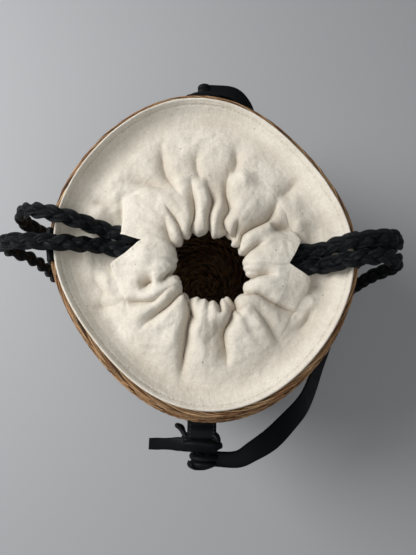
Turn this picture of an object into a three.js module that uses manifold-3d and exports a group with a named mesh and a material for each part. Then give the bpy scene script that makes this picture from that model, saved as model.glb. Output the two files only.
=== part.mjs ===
// Straw bucket bag with a gathered canvas closure, braided leather drawcords and a knotted
// leather shoulder strap. Millimetres, +Z up, origin at the middle of the base's underside,
// front towards -Y, the strap lying down on the +X side.
import * as THREE from 'three';
import { mergeVertices } from 'three/addons/utils/BufferGeometryUtils.js';
import Module from 'manifold-3d';

const wasm = await Module();
wasm.setup();

// Basket: a round heel, the widest place at the belly, and an out-of-round mouth
const RIM_HEIGHT = 230;
const MOUTH_RADIUS = 121;
const BELLY_RADIUS = 140;
const BELLY_HEIGHT = 130;
const BASE_RADIUS = 104;
const HEEL_ROUND = 20;
const SHOULDER_ROUND = 13;
const WALL = 4.5;
const BASE_THICKNESS = 5;
const BASE_CROWN = 2;
const MOUTH_OVAL = 6.1;
const OVAL_DIRECTION = 113.5;
const MOUTH_SQUARENESS = 2.9;
const ROUND_BELOW = 0.6;
const STAKES = 60;
const STAKE_RELIEF = 1.4;
const RELIEF_FADE = 14;

// Border roll and the canvas band sewn inside it
const BORDER_WIDTH = 8.4;
const BORDER_HEIGHT = 4;
const FACING_THICKNESS = 1.6;
const FACING_DEPTH = 14.8;
const FACING_LEAN = 6.5;
const FACING_PROUD = 0.3;

// Canvas closure: a gathered casing round an off-centre hole, and the collar that carries it
const CLOSURE_X = 6.2;
const CLOSURE_Y = -15.6;
const CASING_DROP = 4;
const HOLE_RADIUS = 27;
const HEM_RADIUS = 83;
const CANVAS = 1.2;
const PLEATS = 14;
const PLEAT_DEPTH = 2.4;
const HEM_FLATTEN = 0.5;
const COLLAR_HUMP = 6;
const COLLAR_FOLD = 1.6;
const NOTCH_LEFT = 165;
const NOTCH_RIGHT = 4;
const NOTCH_TIP_RADIUS = 58;
const NOTCH_HALF_WIDTH = 13.9;

// Braided leather drawcords
const CORD_DIAMETER = 12;
const CORD_RING_RADIUS = 39;
const CORD_TURN_RADIUS = 20;
const CORD_SIDES = 8;

// Leather: rim guards under the cords, strap tabs in the wall, knots and the shoulder strap
const GUARD_THICKNESS = 1.6;
const GUARD_LENGTH = 28;
const GUARD_SKIRT = 9;
const GUARD_TUCK = 5;
const TAB_HEIGHT = 175;
const TAB_WIDTH = 25;
const TAB_REACH = 16.5;
const TAB_TAIL = 8;
const TAB_LEATHER = 2;
const TAB_OFFSET = -1.5;
const TUNNEL_HEIGHT = 7;
const TUNNEL_LENGTH = 10;
const PATCH_WIDTH = 36;
const PATCH_HEIGHT = 24;
const KNOT_HEIGHT = 15;
const KNOT_BAND = 6;
const KNOT_TAIL = 29;
const STRAP_WIDTH = 19;
const STRAP_THICKNESS = 3;
const STRAP_NECK = 12;
const STRAP_TURN_RADIUS = 7;
const STRAP_FLOOR_GAP = 0.6;

const CLEAR = 0.3;

const { degToRad, lerp, smoothstep } = THREE.MathUtils;
const point2 = (x, y) => new THREE.Vector2(x, y);
const point3 = (x, y, z) => new THREE.Vector3(x, y, z);
const polar = (radius, angle) => point2(radius * Math.cos(angle), radius * Math.sin(angle));

const material = (color, roughness, metalness = 0) =>
  () => new THREE.MeshStandardMaterial({ color, roughness, metalness });
const straw = material(0xb98a58, 0.8);
const canvas = material(0xe6dfcf, 0.95);
const cordLeather = material(0x15171b, 0.5);
const strapLeather = material(0x121418, 0.42);

// A closed body from a section swept through stations. outline and holes are loops of any
// values that place(station, value) turns into points; a closed sweep joins its last station
// to its first, and an open one gets flat caps.
function sweep(place, stations, outline, { holes = [], closed = false, flat = (v) => v } = {}) {
  const onPlane = (loop) => loop.map((v) => point2(...flat(v)));
  const wound = (loop, way) => (
    THREE.ShapeUtils.area(onPlane(loop)) * way > 0 ? loop : loop.slice().reverse());
  const loops = [wound(outline, 1), ...holes.map((hole) => wound(hole, -1))];
  const size = loops.reduce((sum, loop) => sum + loop.length, 0);
  const positions = stations.flatMap((station) =>
    loops.flat().flatMap((value) => place(station, value).toArray()));
  const faces = [];
  const spans = closed ? stations.length : stations.length - 1;
  for (let s = 0; s < spans; s += 1) {
    const here = s * size;
    const next = ((s + 1) % stations.length) * size;
    let first = 0;
    for (const loop of loops) {
      for (let i = 0; i < loop.length; i += 1) {
        const a = first + i;
        const b = first + (i + 1) % loop.length;
        faces.push(here + a, here + b, next + b, here + a, next + b, next + a);
      }
      first += loop.length;
    }
  }
  if (!closed) {
    const cap = THREE.ShapeUtils.triangulateShape(onPlane(loops[0]), loops.slice(1).map(onPlane));
    const end = (stations.length - 1) * size;
    for (const [a, b, c] of cap) {
      faces.push(a, c, b, end + a, end + b, end + c);
    }
  }
  const geometry = new THREE.BufferGeometry();
  geometry.setAttribute('position', new THREE.Float32BufferAttribute(positions, 3));
  geometry.setIndex(faces);
  return facingOut(geometry);
}

// The same surface with shared vertices and nothing but positions
function bare(geometry) {
  const copy = geometry.clone();
  for (const name of Object.keys(copy.attributes)) {
    if (name !== 'position') copy.deleteAttribute(name);
  }
  return mergeVertices(copy, 1e-4);
}

// Turns every face round when the body's volume comes out negative
function facingOut(geometry) {
  const at = geometry.getAttribute('position');
  const index = geometry.getIndex().array;
  const [a, b, c] = [point3(), point3(), point3()];
  let volume = 0;
  for (let i = 0; i < index.length; i += 3) {
    a.fromBufferAttribute(at, index[i]);
    b.fromBufferAttribute(at, index[i + 1]);
    c.fromBufferAttribute(at, index[i + 2]);
    volume += a.dot(b.cross(c));
  }
  if (volume < 0) {
    for (let i = 0; i < index.length; i += 3) {
      [index[i], index[i + 1]] = [index[i + 1], index[i]];
    }
  }
  return geometry;
}

function toSolid(geometry) {
  const merged = bare(geometry);
  return new wasm.Manifold(new wasm.Mesh({
    numProp: 3,
    vertProperties: new Float32Array(merged.getAttribute('position').array),
    triVerts: new Uint32Array(merged.getIndex().array),
  }));
}

function toGeometry(solid) {
  const mesh = solid.getMesh();
  const geometry = new THREE.BufferGeometry();
  geometry.setAttribute('position', new THREE.Float32BufferAttribute(mesh.vertProperties, 3));
  geometry.setIndex(Array.from(mesh.triVerts));
  return geometry;
}

const join = (...geometries) =>
  toGeometry(geometries.map(toSolid).reduce((whole, solid) => whole.add(solid)));
const cut = (geometry, ...tools) =>
  toGeometry(tools.map(toSolid).reduce((whole, tool) => whole.subtract(tool), toSolid(geometry)));

const range = (from, to, steps) =>
  Array.from({ length: steps + 1 }, (_, i) => lerp(from, to, i / steps));
const fullTurn = (steps) => range(0, 2 * Math.PI, steps).slice(0, -1);

// The loop of a strip of even thickness laid along an open line of [x, y] points
function strip(line, thickness) {
  const side = line.map((here, i) => {
    const before = line[Math.max(i - 1, 0)];
    const after = line[Math.min(i + 1, line.length - 1)];
    const normals = [[before, here], [here, after]]
      .map(([p, q]) => point2(p[1] - q[1], q[0] - p[0]))
      .filter((n) => n.length() > 0)
      .map((n) => n.normalize());
    const middle = normals.reduce((sum, n) => sum.add(n.clone()), point2(0, 0)).normalize();
    const reach = thickness / middle.dot(normals[0]);
    return [here[0] + middle.x * reach, here[1] + middle.y * reach];
  });
  return [...line, ...side.reverse()];
}

// Basket side: two curves that meet upright at the belly
const lowerSide = new THREE.CubicBezierCurve(
  point2(BASE_RADIUS, 0),
  point2(BASE_RADIUS + HEEL_ROUND, 0),
  point2(BELLY_RADIUS, BELLY_HEIGHT / 2),
  point2(BELLY_RADIUS, BELLY_HEIGHT));
const upperSide = new THREE.CubicBezierCurve(
  point2(BELLY_RADIUS, BELLY_HEIGHT),
  point2(BELLY_RADIUS, lerp(BELLY_HEIGHT, RIM_HEIGHT, 0.4)),
  point2(MOUTH_RADIUS + SHOULDER_ROUND, lerp(BELLY_HEIGHT, RIM_HEIGHT, 0.75)),
  point2(MOUTH_RADIUS, RIM_HEIGHT));
const SIDE_STEPS = 6;
const outerSide = [
  ...lowerSide.getPoints(SIDE_STEPS),
  ...upperSide.getPoints(SIDE_STEPS).slice(1),
];
const innerSide = outerSide.map((p, i) => {
  const along = (i <= SIDE_STEPS ? lowerSide : upperSide)
    .getTangent((i <= SIDE_STEPS ? i : i - SIDE_STEPS) / SIDE_STEPS);
  const inner = point2(p.x - along.y * WALL, p.y + along.x * WALL);
  return i === outerSide.length - 1 ? point2(p.x - WALL / along.y, p.y) : inner;
});

// The radius of a side's line of points at a height
function radiusAt(side, z) {
  const i = Math.max(1, side.findIndex((p) => p.y >= z));
  const [below, above] = [side[i - 1], side[i]];
  return lerp(below.x, above.x, (z - below.y) / (above.y - below.y));
}

// How far the basket's side stands off a true circle: fully at the mouth, not at the base
function outOfRound(angle, z) {
  const share = smoothstep(z, 0, RIM_HEIGHT * ROUND_BELOW);
  const oval = MOUTH_OVAL * Math.cos(2 * (angle - degToRad(OVAL_DIRECTION)));
  const square = MOUTH_SQUARENESS * Math.cos(4 * angle);
  return share * (oval + square);
}

function onBasket(angle, [radius, z]) {
  const p = polar(radius + outOfRound(angle, z), angle);
  return point3(p.x, p.y, z);
}

const AROUND = 60;
const FRONT = -Math.PI / 2;
const wallFace = radiusAt(outerSide, TAB_HEIGHT) + outOfRound(FRONT, TAB_HEIGHT);

// The slot in the wall and its patch that the tab's two layers pass through
const slotCutter = new THREE.BoxGeometry(
  TAB_WIDTH + 2 * CLEAR, 4 * WALL + 2 * TAB_TAIL, 2 * (TAB_LEATHER + CLEAR))
  .translate(TAB_OFFSET, -wallFace + WALL, TAB_HEIGHT);
const mirrored = (geometry) => facingOut(bare(geometry).scale(1, -1, 1));

// How far the woven rows sink in between two stakes: fully at mid height, and not at the base
// or under the rim's guards
function betweenStakes(angle, z) {
  const skirtZ = RIM_HEIGHT - GUARD_SKIRT;
  const share = smoothstep(z, 0, RELIEF_FADE) * (1 - smoothstep(z, skirtZ - RELIEF_FADE, skirtZ));
  return share * STAKE_RELIEF * (1 - Math.cos(STAKES * angle)) / 2;
}

function basketWall() {
  const outline = [
    ...outerSide.map((p) => [p.x, p.y, 1]),
    ...innerSide.slice().reverse().map((p) => [p.x, p.y, 0]),
  ];
  const place = (angle, [radius, z, outside]) =>
    onBasket(angle, [radius - outside * betweenStakes(angle, z), z]);
  const shell = sweep(place, fullTurn(2 * STAKES), outline, { closed: true });
  return cut(shell, slotCutter, mirrored(slotCutter));
}

function basketBase() {
  const edge = BASE_RADIUS - CLEAR;
  return new THREE.LatheGeometry([
    point2(0, 0), point2(edge, 0), point2(edge, BASE_THICKNESS - 0.5),
    point2(edge - 1, BASE_THICKNESS), point2(edge * 0.5, BASE_THICKNESS + BASE_CROWN * 0.8),
    point2(0, BASE_THICKNESS + BASE_CROWN),
  ], AROUND).rotateX(Math.PI / 2);
}

const borderMiddle = MOUTH_RADIUS - WALL / 2;
const borderTop = RIM_HEIGHT + CLEAR + BORDER_HEIGHT;
const borderInner = borderMiddle - BORDER_WIDTH / 2;
const borderOuter = borderMiddle + BORDER_WIDTH / 2;

function rimBorder() {
  const section = fullTurn(8).map((a) => [
    borderMiddle + (BORDER_WIDTH / 2) * Math.cos(a),
    borderTop + (BORDER_HEIGHT / 2) * (Math.sin(a) - 1),
  ]);
  return sweep(onBasket, fullTurn(AROUND), section, { closed: true });
}

// The facing steps inwards by the guard's leather where a guard tucks in behind it
const GUARDS = { left: 180, right: -1.5 };
const guardFullHalf = degToRad(12);
const guardFadeHalf = degToRad(18);

function guardStep(angle) {
  const turn = Math.asin(Math.min(Math.abs(Math.sin(angle)), 1));
  return (GUARD_THICKNESS + CLEAR) * (1 - smoothstep(turn, guardFullHalf, guardFadeHalf));
}

const facingTop = borderTop + FACING_PROUD;
const facingOuter = borderInner - CLEAR;
const facingBottom = facingTop - FACING_DEPTH;

function canvasFacing() {
  const section = [
    [facingOuter, facingTop],
    [facingOuter - FACING_LEAN, facingBottom],
    [facingOuter - FACING_LEAN - FACING_THICKNESS, facingBottom],
    [facingOuter - FACING_THICKNESS * 0.9, facingTop - 0.4],
    [facingOuter - FACING_THICKNESS * 0.5, facingTop + 0.3],
  ];
  const place = (angle, [radius, z]) => {
    const p = polar(radius - guardStep(angle) + outOfRound(angle, RIM_HEIGHT), angle);
    return point3(p.x, p.y, z);
  };
  return sweep(place, fullTurn(AROUND), section, { closed: true });
}

// Leather folded over the rim: a tuck behind the border, a crown and a skirt outside
function rimGuard(middle) {
  const skirtZ = RIM_HEIGHT - GUARD_SKIRT;
  const inside = [
    [borderInner - CLEAR, RIM_HEIGHT - GUARD_TUCK],
    [borderInner - CLEAR, borderTop - 1.5],
    [borderInner + 1.4, borderTop + CLEAR],
    [borderOuter - 1.4, borderTop + CLEAR],
    [borderOuter + CLEAR, borderTop - 1.5],
    [radiusAt(outerSide, skirtZ) + 2 * CLEAR, skirtZ],
  ];
  const half = GUARD_LENGTH / 2 / borderOuter;
  const place = (angle, [radius, z]) => {
    const p = polar(radius + outOfRound(angle, RIM_HEIGHT), angle);
    return point3(p.x, p.y, z);
  };
  const angles = range(degToRad(middle) - half, degToRad(middle) + half, 6);
  return sweep(place, angles, strip(inside, GUARD_THICKNESS));
}

// Canvas closure. Angles are taken round the middle of the hole, and heights from the middle
// of the drawcord.
const cordPlane = RIM_HEIGHT - CASING_DROP;
const halves = {
  rear: [degToRad(NOTCH_RIGHT), degToRad(NOTCH_LEFT)],
  front: [degToRad(NOTCH_LEFT), degToRad(NOTCH_RIGHT + 360)],
};

// Half the V notch at a radius: a hair's seam inside its tip, open to full width at the hem
function notchHalf(radius) {
  const opening = (NOTCH_HALF_WIDTH * (radius - NOTCH_TIP_RADIUS))
    / (HEM_RADIUS - 4 - NOTCH_TIP_RADIUS);
  const width = Math.min(NOTCH_HALF_WIDTH, Math.max(CLEAR / 2, opening));
  return Math.asin(width / radius);
}

// How near an angle is to a notch: 1 there, 0 from 34 degrees away
function nearNotch(angle) {
  const turns = [NOTCH_LEFT, NOTCH_RIGHT].map((notch) => {
    const turn = angle - degToRad(notch);
    return Math.abs(Math.atan2(Math.sin(turn), Math.cos(turn)));
  });
  return 1 - smoothstep(Math.min(...turns), degToRad(14), degToRad(34));
}

// A point of the casing: [radius, height, share of the pleats, share of the hem's flattening]
function onCasing([from, to]) {
  return (t, [radius, height, pleat, hem]) => {
    const angle = lerp(from + notchHalf(radius), to - notchHalf(radius), t);
    const flatten = 1 - HEM_FLATTEN * hem * (1 - nearNotch(angle));
    const wave = pleat * PLEAT_DEPTH * Math.cos(PLEATS * angle);
    const scallop = radius < HOLE_RADIUS + 6 ? wave / 2 : 0;
    const p = polar(radius - scallop, angle);
    return point3(CLOSURE_X + p.x, CLOSURE_Y + p.y, cordPlane + height * flatten + wave);
  };
}

const cordRoom = CORD_DIAMETER / 2 + CLEAR;
const PLEAT_STEPS = 6;

function casing(half) {
  const roof = cordRoom + PLEAT_DEPTH + CANVAS;
  const floor = -(cordRoom + CANVAS);
  const outline = [
    [HEM_RADIUS, floor * 0.75, 0, 1], [HEM_RADIUS, cordRoom * 0.7, 0, 1],
    [HEM_RADIUS - 3, cordRoom + CANVAS, 0, 1],
    [lerp(HOLE_RADIUS, HEM_RADIUS, 0.72), cordRoom + CANVAS + 0.6, 0.25, 0.7],
    [lerp(HOLE_RADIUS, HEM_RADIUS, 0.45), roof, 0.8, 0.2],
    [HOLE_RADIUS + 9, roof, 1, 0], [HOLE_RADIUS + 3, roof - 2.4, 1, 0],
    [HOLE_RADIUS, roof * 0.3, 1, 0], [HOLE_RADIUS + 1, floor * 0.6, 0.7, 0],
    [HOLE_RADIUS + 6, floor, 0, 0], [HEM_RADIUS - 8, floor, 0, 0.5],
  ];
  const channel = [
    [HEM_RADIUS - 3.2, -cordRoom * 0.9, 0, 1], [HEM_RADIUS - 3.2, cordRoom, 0, 1],
    [lerp(HOLE_RADIUS, HEM_RADIUS, 0.45), cordRoom + PLEAT_DEPTH - 0.2, 0.8, 0.2],
    [HOLE_RADIUS + 8.5, cordRoom + PLEAT_DEPTH, 1, 0],
    [HOLE_RADIUS + 4.6, cordRoom * 0.7, 0.6, 0], [HOLE_RADIUS + 5.2, -cordRoom, 0, 0],
    [HEM_RADIUS - 10, -cordRoom, 0, 0.3],
  ];
  const [from, to] = halves[half];
  const steps = Math.round(((to - from) / (2 * Math.PI)) * PLEATS * PLEAT_STEPS);
  return sweep(onCasing(halves[half]), range(0, 1, steps), outline, { holes: [channel] });
}

// Collar: a folded sheet from the facing's lower edge to the casing's hem, dipping under the
// cords at the notches
function collar(half) {
  const seam = CLEAR / 2 / HEM_RADIUS;
  const [from, to] = halves[half];
  const hemEdge = HEM_RADIUS + CLEAR;
  const facingEdge = facingOuter - FACING_LEAN - FACING_THICKNESS - CLEAR;
  const place = (t, [across, lift]) => {
    const angle = lerp(from + seam, to - seam, t);
    const inner = polar(hemEdge, angle).add(point2(CLOSURE_X, CLOSURE_Y));
    const outer = polar(facingEdge - guardStep(angle) + outOfRound(angle, RIM_HEIGHT), angle);
    const flat = inner.lerp(outer, across);
    const notch = nearNotch(angle);
    const hemZ = cordPlane - 2.2 - notch * (cordRoom - 0.6);
    const edgeZ = facingBottom + CANVAS / 2;
    const swell = Math.sin(Math.PI * across) * (1 - notch);
    const fold = COLLAR_HUMP + COLLAR_FOLD * Math.cos(PLEATS * angle);
    return point3(flat.x, flat.y, lerp(hemZ, edgeZ, across) + swell * fold + lift);
  };
  const across = range(0, 1, 4);
  const outline = [
    ...across.map((u) => [u, -CANVAS / 2]),
    ...across.slice().reverse().map((u) => [u, CANVAS / 2]),
  ];
  const steps = Math.round(((to - from) / (2 * Math.PI)) * PLEATS * PLEAT_STEPS);
  const flat = ([u, lift]) => [u * 100, lift];
  return sweep(place, range(0, 1, steps), outline, { flat });
}

// A cord's tube: an even round section drawn along a smooth line through its points
function cordTube(points, steps) {
  const section = new THREE.Shape(fullTurn(CORD_SIDES).map((a) => polar(CORD_DIAMETER / 2, a)));
  return new THREE.ExtrudeGeometry(section, {
    steps,
    bevelEnabled: false,
    extrudePath: new THREE.CatmullRomCurve3(points, false, 'centripetal'),
  });
}

// One notch's end of a run: straight in beside the notch's middle, then a turn onto the ring
const strandOffset = CORD_DIAMETER / 2 + CLEAR;
const runExit = HEM_RADIUS + 1;

function runEnd(notch, side) {
  const out = polar(1, degToRad(notch));
  const aside = polar(1, degToRad(notch) + Math.PI / 2).multiplyScalar(side);
  const turnAside = strandOffset + CORD_TURN_RADIUS;
  const turnOut = Math.sqrt((CORD_RING_RADIUS + CORD_TURN_RADIUS) ** 2 - turnAside ** 2);
  const turnAngle = Math.atan2(turnOut, turnAside);
  const straight = range(runExit, turnOut + 4, 3).map((r) => [r, strandOffset]);
  const turn = range(0, turnAngle, 4).map((a) => [
    turnOut - CORD_TURN_RADIUS * Math.sin(a),
    turnAside - CORD_TURN_RADIUS * Math.cos(a),
  ]);
  const place = ([o, a]) => point3(
    CLOSURE_X + out.x * o + aside.x * a, CLOSURE_Y + out.y * o + aside.y * a, cordPlane);
  const ringAngle = degToRad(notch) + side * (Math.PI / 2 - turnAngle);
  return { points: [...straight, ...turn].map(place), ringAngle };
}

// A drawcord's run through its half of the casing, from the left notch to the right one
function drawcordRun(half) {
  const side = half === 'rear' ? -1 : 1;
  const left = runEnd(NOTCH_LEFT, side);
  const right = runEnd(half === 'rear' ? NOTCH_RIGHT : NOTCH_RIGHT + 360, -side);
  const ring = range(left.ringAngle, right.ringAngle, 8).slice(1, -1).map((angle) => {
    const p = polar(CORD_RING_RADIUS, angle);
    return point3(CLOSURE_X + p.x, CLOSURE_Y + p.y, cordPlane);
  });
  return cordTube([...left.points, ...ring, ...right.points.reverse()], 26);
}

// The drawcord loops outside, from one strand's notch end over the rim, down beside the belly
// and back to the other's
const LOOP_LEFT = [
  [-73.6, 12.3, 226], [-76.3, 13, 226], [-84, 15, 229.5], [-93, 17, 236], [-103, 19.3, 241.2],
  [-113, 21.6, 243.2], [-123, 24, 243], [-134, 26.5, 239.5], [-144, 28.3, 232],
  [-151.5, 29, 221], [-155, 28, 208], [-154, 26.5, 194], [-151, 25.5, 180],
  [-149.5, 24.5, 165], [-149, 23, 150], [-149, 20.5, 136], [-149, 15, 124], [-149, 6, 117],
  [-149, -3, 118.5], [-149, -9, 127], [-149.5, -9.5, 141], [-150, -6.5, 155],
  [-151.5, -3.5, 169], [-154.5, -1, 183], [-159.5, 1, 196], [-163.5, 2, 208],
  [-163.5, 2.5, 220.5], [-157.5, 2.3, 231.5], [-147, 1.5, 239.2], [-135, 0.5, 242.8],
  [-123, 0, 243.4], [-113, -0.4, 243], [-104, -0.4, 240.8], [-95, 0, 235.4],
  [-87, 0.6, 229.6], [-79.5, 0.8, 226], [-76.9, 0.1, 226],
];
const LOOP_RIGHT = [
  [89.9, -3.4, 226], [92.4, -3.2, 226], [97, -2.6, 230.3], [102.7, -1.6, 237.5],
  [108.5, -0.6, 242.6], [116, 0.5, 244.3], [125, 2, 243.8], [135, 3.7, 241.2],
  [145, 5.5, 236], [154.5, 7, 228], [161.5, 7.2, 217], [165, 7.2, 204.5],
  [164.3, 8.5, 191], [160.5, 10, 177], [156, 11, 163], [152, 11.5, 149], [149.5, 10, 136],
  [148.5, 4.5, 124.5], [148, -4.5, 118.5], [148, -13.5, 121], [148, -19, 130],
  [148.5, -20, 144], [149.5, -18.5, 158], [151, -16.5, 172], [153.5, -15, 186],
  [157.5, -13.5, 199], [159.5, -12.5, 212], [156.5, -11.8, 224], [149, -11.3, 234],
  [139, -11.3, 240.3], [128, -12, 243.7], [117, -13.3, 244.3], [109, -14.4, 242.4],
  [103.5, -15.2, 237.6], [98, -15.6, 230.6], [93.4, -15.8, 226], [90.7, -16, 226],
];

function drawcordLoop(route) {
  return cordTube(route.map((p) => point3(...p)), 48);
}

// Strap tab: one strip doubled through the wall's slot, with a tunnel for the strap's knot
function strapTab() {
  const layer = TAB_LEATHER;
  const loopHalf = TUNNEL_HEIGHT / 2 + layer;
  const tunnelFrom = TAB_REACH - layer - TUNNEL_LENGTH;
  const outline = new THREE.Shape();
  outline.moveTo(-WALL - TAB_TAIL, -layer);
  outline.lineTo(0.8, -layer);
  outline.quadraticCurveTo(tunnelFrom - 1.5, -layer, tunnelFrom + 1, -loopHalf);
  outline.lineTo(TAB_REACH - loopHalf, -loopHalf);
  outline.absarc(TAB_REACH - loopHalf, 0, loopHalf, -Math.PI / 2, Math.PI / 2);
  outline.lineTo(tunnelFrom + 1, loopHalf);
  outline.quadraticCurveTo(tunnelFrom - 1.5, layer, 0.8, layer);
  outline.lineTo(-WALL - TAB_TAIL, layer);
  const tunnel = new THREE.Path();
  const half = TUNNEL_HEIGHT / 2;
  tunnel.moveTo(tunnelFrom + half, -half);
  tunnel.absarc(TAB_REACH - layer - half, 0, half, -Math.PI / 2, Math.PI / 2);
  tunnel.absarc(tunnelFrom + half, 0, half, Math.PI / 2, (3 * Math.PI) / 2);
  outline.holes.push(tunnel);
  const geometry = new THREE.ExtrudeGeometry(outline, {
    depth: TAB_WIDTH, bevelEnabled: false, curveSegments: 6,
  });
  const frame = new THREE.Matrix4().makeBasis(
    point3(0, -1, 0), point3(0, 0, 1), point3(-1, 0, 0));
  return geometry.applyMatrix4(frame)
    .translate(TAB_OFFSET + TAB_WIDTH / 2, -wallFace, TAB_HEIGHT);
}

// The leather patch inside the wall round the slot, following the wall on that side
function tabPatch(direction, cutter) {
  const heights = range(TAB_HEIGHT - PATCH_HEIGHT / 2, TAB_HEIGHT + PATCH_HEIGHT / 2, 4);
  const outline = [
    ...heights.map((z) => [CLEAR, z]),
    ...heights.slice().reverse().map((z) => [CLEAR + TAB_LEATHER, z]),
  ];
  const place = (angle, [depth, z]) => onBasket(angle, [radiusAt(innerSide, z) - depth, z]);
  const half = PATCH_WIDTH / 2 / BELLY_RADIUS;
  const middle = direction - Math.sin(direction) * (TAB_OFFSET / BELLY_RADIUS);
  return cut(sweep(place, range(middle - half, middle + half, 6), outline), cutter);
}

// Knot: the strap's end drawn through the tunnel, swelling into lobes beside the tab and
// crossing in front of its nose, and the cut tail that sticks out of it to the side or hangs
const tunnelMiddle = TAB_REACH - TAB_LEATHER - TUNNEL_LENGTH / 2;
const knotFront = TAB_REACH + 2 * CLEAR + KNOT_BAND;

function strapKnot(tailHangs) {
  const neckHalf = TUNNEL_HEIGHT / 2 - 2 * CLEAR;
  const lobeOut = TAB_WIDTH / 2 + CLEAR + KNOT_BAND / 2;
  const frontMiddle = knotFront - KNOT_BAND / 2;
  const ringMiddle = (tunnelMiddle + frontMiddle) / 2;
  const ringHalf = (frontMiddle - tunnelMiddle) / 2;
  const corner = (v) => Math.sign(v) * Math.abs(v) ** 0.45;
  const place = (angle, [wide, tall]) => {
    const [along, outward] = [corner(Math.cos(angle)), corner(Math.sin(angle))];
    const forward = smoothstep(Math.sin(angle), -0.75, -0.2);
    const half = lerp(neckHalf, KNOT_HEIGHT / 2, forward);
    const normal = point2(Math.cos(angle) / lobeOut, Math.sin(angle) / ringHalf).normalize();
    const x = lobeOut * along + normal.x * wide;
    const y = ringMiddle + ringHalf * outward + normal.y * wide;
    return point3(TAB_OFFSET + x, -wallFace - y, TAB_HEIGHT + tall * half);
  };
  const section = fullTurn(8).map((a) => [(KNOT_BAND / 2) * Math.cos(a), Math.sin(a)]);
  const ring = sweep(place, fullTurn(28), section, { closed: true });
  const tailHalf = STRAP_WIDTH * 0.24;
  const away = tailHangs ? point2(0, -1) : point2(-1, 0);
  const tailAt = (t, [wide, tall]) => {
    const aside = tall * lerp(1.6, 1, t) + 1.2 * Math.sin(2.4 * t);
    return point3(
      TAB_OFFSET - lobeOut + away.x * t * KNOT_TAIL + away.y * aside,
      -wallFace - ringMiddle - 0.6 + wide * lerp(0.7, 1, t),
      TAB_HEIGHT + away.y * t * KNOT_TAIL - away.x * aside);
  };
  const tailSection = [
    [-tailHalf, -1.1], [tailHalf, -1.1], [tailHalf + 0.5, 0], [tailHalf, 1.1],
    [-tailHalf, 1.1], [-tailHalf - 0.5, 0],
  ];
  return join(ring, sweep(tailAt, range(0, 1, 5), tailSection));
}

// Shoulder strap route from the front knot down to the floor and up to the rear knot: [angle,
// distance from the wall, share of the tab's height], and the way its face looks as [outward
// share, upward share]. The rear half drops more steeply, close behind the basket.
const STRAP_ROUTE = [
  [-80.2, 31.5, 0.975, 0, 1], [-75.8, 28.5, 0.962, 0, 1], [-69.5, 25.5, 0.92, 0.05, 1],
  [-62.6, 22.5, 0.84, 0.12, 1], [-55, 23, 0.715, 0.2, 1], [-49.6, 24.5, 0.59, 0.28, 1],
  [-43.8, 26.5, 0.455, 0.36, 1], [-36.3, 30, 0.31, 0.5, 1], [-27.5, 36, 0.185, 0.65, 1],
  [-17, 43, 0.095, 0.8, 1], [-7, 46.5, 0.03, 0.9, 1], [0, 47.5, 0, 1, 1],
  [8, 46.5, 0.025, 0.95, 1], [19, 42, 0.075, 0.9, 0.9], [30, 33, 0.15, 1, 0.8],
  [40, 23.5, 0.25, 1, 0.7], [48, 19, 0.365, 1, 0.6], [55, 17, 0.49, 1, 0.6],
  [61, 16.5, 0.61, 0.95, 0.7], [66.5, 17.5, 0.725, 0.75, 0.85], [71.5, 20.5, 0.83, 0.45, 1],
  [76, 27.5, 0.925, 0.15, 1], [80.2, 32.3, 0.97, 0, 1],
];
const hingeX = 0;
const hingeZ = TAB_HEIGHT - 2;

function strapLine() {
  const tilt = Math.SQRT1_2;
  const floorSeat = STRAP_FLOOR_GAP + tilt * (STRAP_WIDTH / 2 + STRAP_THICKNESS / 2);
  const neckY = -(wallFace + knotFront + CLEAR + STRAP_NECK / 2);
  const start = [
    { at: point3(hingeX, neckY, hingeZ), face: point3(0, 0, 1) },
    { at: point3(hingeX + 8, neckY, hingeZ), face: point3(0, 0, 1) },
  ];
  const route = STRAP_ROUTE.map(([degrees, stand, share, outward, upward]) => {
    const angle = degToRad(degrees);
    const z = lerp(floorSeat, TAB_HEIGHT, share);
    const p = polar(radiusAt(outerSide, z) + outOfRound(angle, z) + stand, angle);
    const away = polar(outward, angle);
    return { at: point3(p.x, p.y, z), face: point3(away.x, away.y, upward).normalize() };
  });
  const end = start.slice().reverse().map(({ at, face }) => ({
    at: point3(at.x, -at.y, at.z), face,
  }));
  return [...start, ...route, ...end];
}

function shoulderStrap() {
  const line = strapLine();
  const curve = new THREE.CatmullRomCurve3(line.map((s) => s.at), false, 'centripetal');
  const faces = new THREE.CatmullRomCurve3(line.map((s) => s.face), false, 'centripetal');
  const long = curve.getLength();
  const place = (u, [wide, thick]) => {
    const at = curve.getPoint(u);
    const along = curve.getTangent(u);
    const across = along.clone().cross(faces.getPoint(u)).normalize();
    const face = across.clone().cross(along).normalize();
    const fromEnd = Math.min(u, 1 - u) * long;
    const spread = smoothstep(fromEnd, 20, 52);
    return at
      .addScaledVector(across, wide * lerp(STRAP_NECK / 2, STRAP_WIDTH / 2, spread))
      .addScaledVector(face, thick * lerp(STRAP_THICKNESS, STRAP_THICKNESS / 2, spread));
  };
  const section = [
    [-1, -0.5], [-0.92, -1], [0.92, -1], [1, -0.5], [1, 0.5], [0.92, 1], [-0.92, 1], [-1, 0.5],
  ];
  const ribbon = sweep(place, range(0, 1, 50), section);
  const ends = [line[0].at, line[line.length - 1].at].map((at) =>
    new THREE.CylinderGeometry(STRAP_TURN_RADIUS, STRAP_TURN_RADIUS, STRAP_NECK, 16)
      .translate(at.x, at.y, at.z));
  return join(ribbon, ...ends);
}

const bag = new THREE.Group();

function add(name, geometry, makeMaterial) {
  const mesh = new THREE.Mesh(geometry, makeMaterial());
  mesh.name = name;
  bag.add(mesh);
}

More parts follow.
